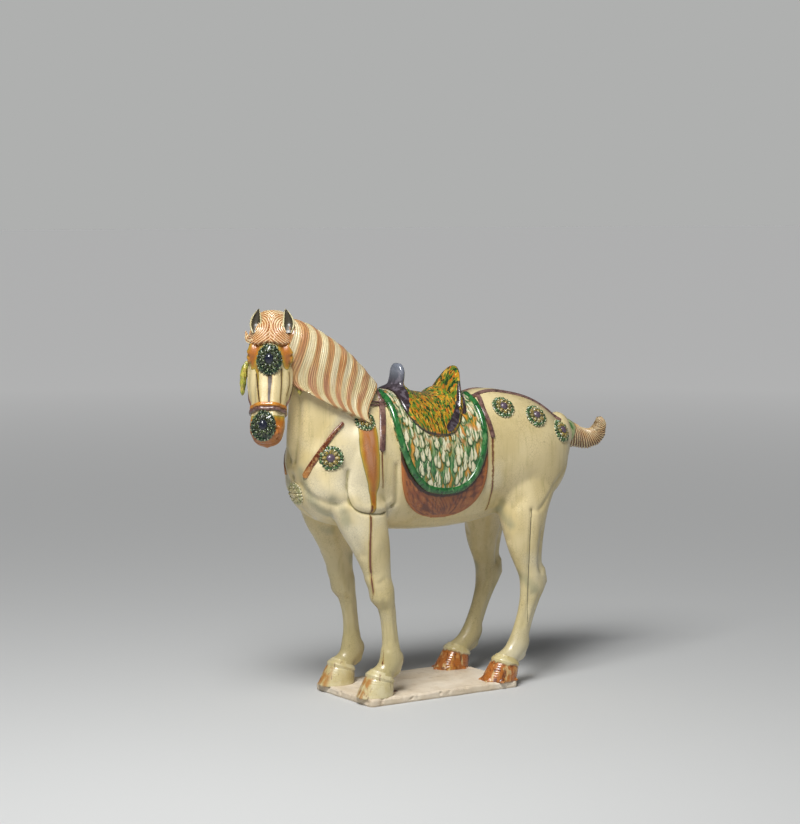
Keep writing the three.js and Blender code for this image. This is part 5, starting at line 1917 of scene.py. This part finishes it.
# %% Dressing
WEAR = {
    body: straw_glaze, skull: straw_glaze, saddle: saddle_glaze, cloth: cloth_glaze,
    border: green_glaze, felt: felt_glaze, mane: mane_glaze,
    forelock: lock_glaze, tuft: lock_glaze, tail: tail_glaze,
    harness: strap_glaze, chest_strap: chest_glaze, bridle: strap_glaze, nose_band: amber_glaze,
    tassels: tassel_glaze, slab: clay, ears[0]: ear_glaze, ears[1]: ear_glaze}
for medal in medallions:
    face = medal.name in ("medallion_forehead", "medallion_muzzle")
    WEAR[medal] = face_medallion_glaze if face else medallion_glaze
    if medal.name == "medallion_chest_middle":
        WEAR[medal] = pale_medallion_glaze
for k, made in enumerate(hooves):
    WEAR[made] = fore_hoof_glaze if k < 2 else hind_hoof_glaze
for piece, glaze in WEAR.items():
    piece.data.materials.clear()
    piece.data.materials.append(glaze.material)
    finished(piece, replaced=("horse",) if piece is body else ())
print("pieces:", len(WEAR))

# %% [markdown]
# ## The studio
# A pale paper floor, a large soft light high on the left as in the photograph, a faint wide sun from the
# same side, a weaker light on the right, and a dim room. The two bright panels are what the glaze reflects.

# %% Floor and lights
FLOOR_SIZE = 160
bpy.ops.mesh.primitive_plane_add(size=FLOOR_SIZE)
floor = bpy.context.object
floor.name = "floor"
paper = bpy.data.materials.new("studio_paper")
paper.use_nodes = True
on_floor = add_node(paper.node_tree, "ShaderNodeTexCoord").outputs["Object"]
away = add_node(paper.node_tree, "ShaderNodeVectorMath", {0: on_floor}, operation="LENGTH").outputs["Value"]
away = add_node(paper.node_tree, "ShaderNodeMapRange", {"Value": away, "From Min": 0.5, "From Max": 7.0})
tint = add_node(paper.node_tree, "ShaderNodeMix",
                {0: away.outputs[0], 6: srgb("#cbcccb"), 7: srgb("#e6e6e5")},
                data_type="RGBA")
paper.node_tree.links.new(tint.outputs[2], paper.node_tree.nodes["Principled BSDF"].inputs["Base Color"])
glow = maths(paper.node_tree, "MULTIPLY", away.outputs[0], 0.16)
sheet_inputs = paper.node_tree.nodes["Principled BSDF"].inputs
sheet_inputs["Emission Color"].default_value = srgb("#f4f4f3")
paper.node_tree.links.new(glow, sheet_inputs["Emission Strength"])
sheet_inputs["Roughness"].default_value = 0.9
floor.data.materials.append(paper)


def light(name, kind, spot, strength, spread):
    lamp = bpy.data.lights.new(name, kind)
    lamp.energy = strength
    if kind == "SUN":
        lamp.angle = math.radians(spread)
    else:
        lamp.size = spread
    lit = bpy.data.objects.new(name, lamp)
    bpy.context.scene.collection.objects.link(lit)
    lit.location = spot
    lit.rotation_euler = (Vector((0, 0, 0.4)) - Vector(spot)).to_track_quat("-Z", "Y").to_euler()


light("key", "AREA", (-1.05, -0.8, 2.0), 40, 0.9)
light("skylight", "SUN", (-2.0, -2.1, 4.2), 1.1, 18)
light("fill", "AREA", (0.9, -3.0, 1.0), 3, 1.8)

# The far paper and the wall behind it have one pale tone, while the room that lights the horse stays dim.
world = bpy.data.worlds.new("studio")
bpy.context.scene.world = world
world.use_nodes = True
room_light = world.node_tree.nodes["Background"]
room_light.inputs["Color"].default_value = srgb("#ccced2")
room_light.inputs["Strength"].default_value = 0.16
wall = add_node(world.node_tree, "ShaderNodeBackground", {"Color": srgb("#afb0af"), "Strength": 1.0})
seen_by = add_node(world.node_tree, "ShaderNodeLightPath")
either = add_node(world.node_tree, "ShaderNodeMixShader", {
    0: seen_by.outputs["Is Camera Ray"], 1: room_light.outputs[0], 2: wall.outputs[0]})
world.node_tree.links.new(either.outputs[0], world.node_tree.nodes["World Output"].inputs["Surface"])
bpy.context.scene.view_settings.view_transform = "Standard"
print("lights: 3")
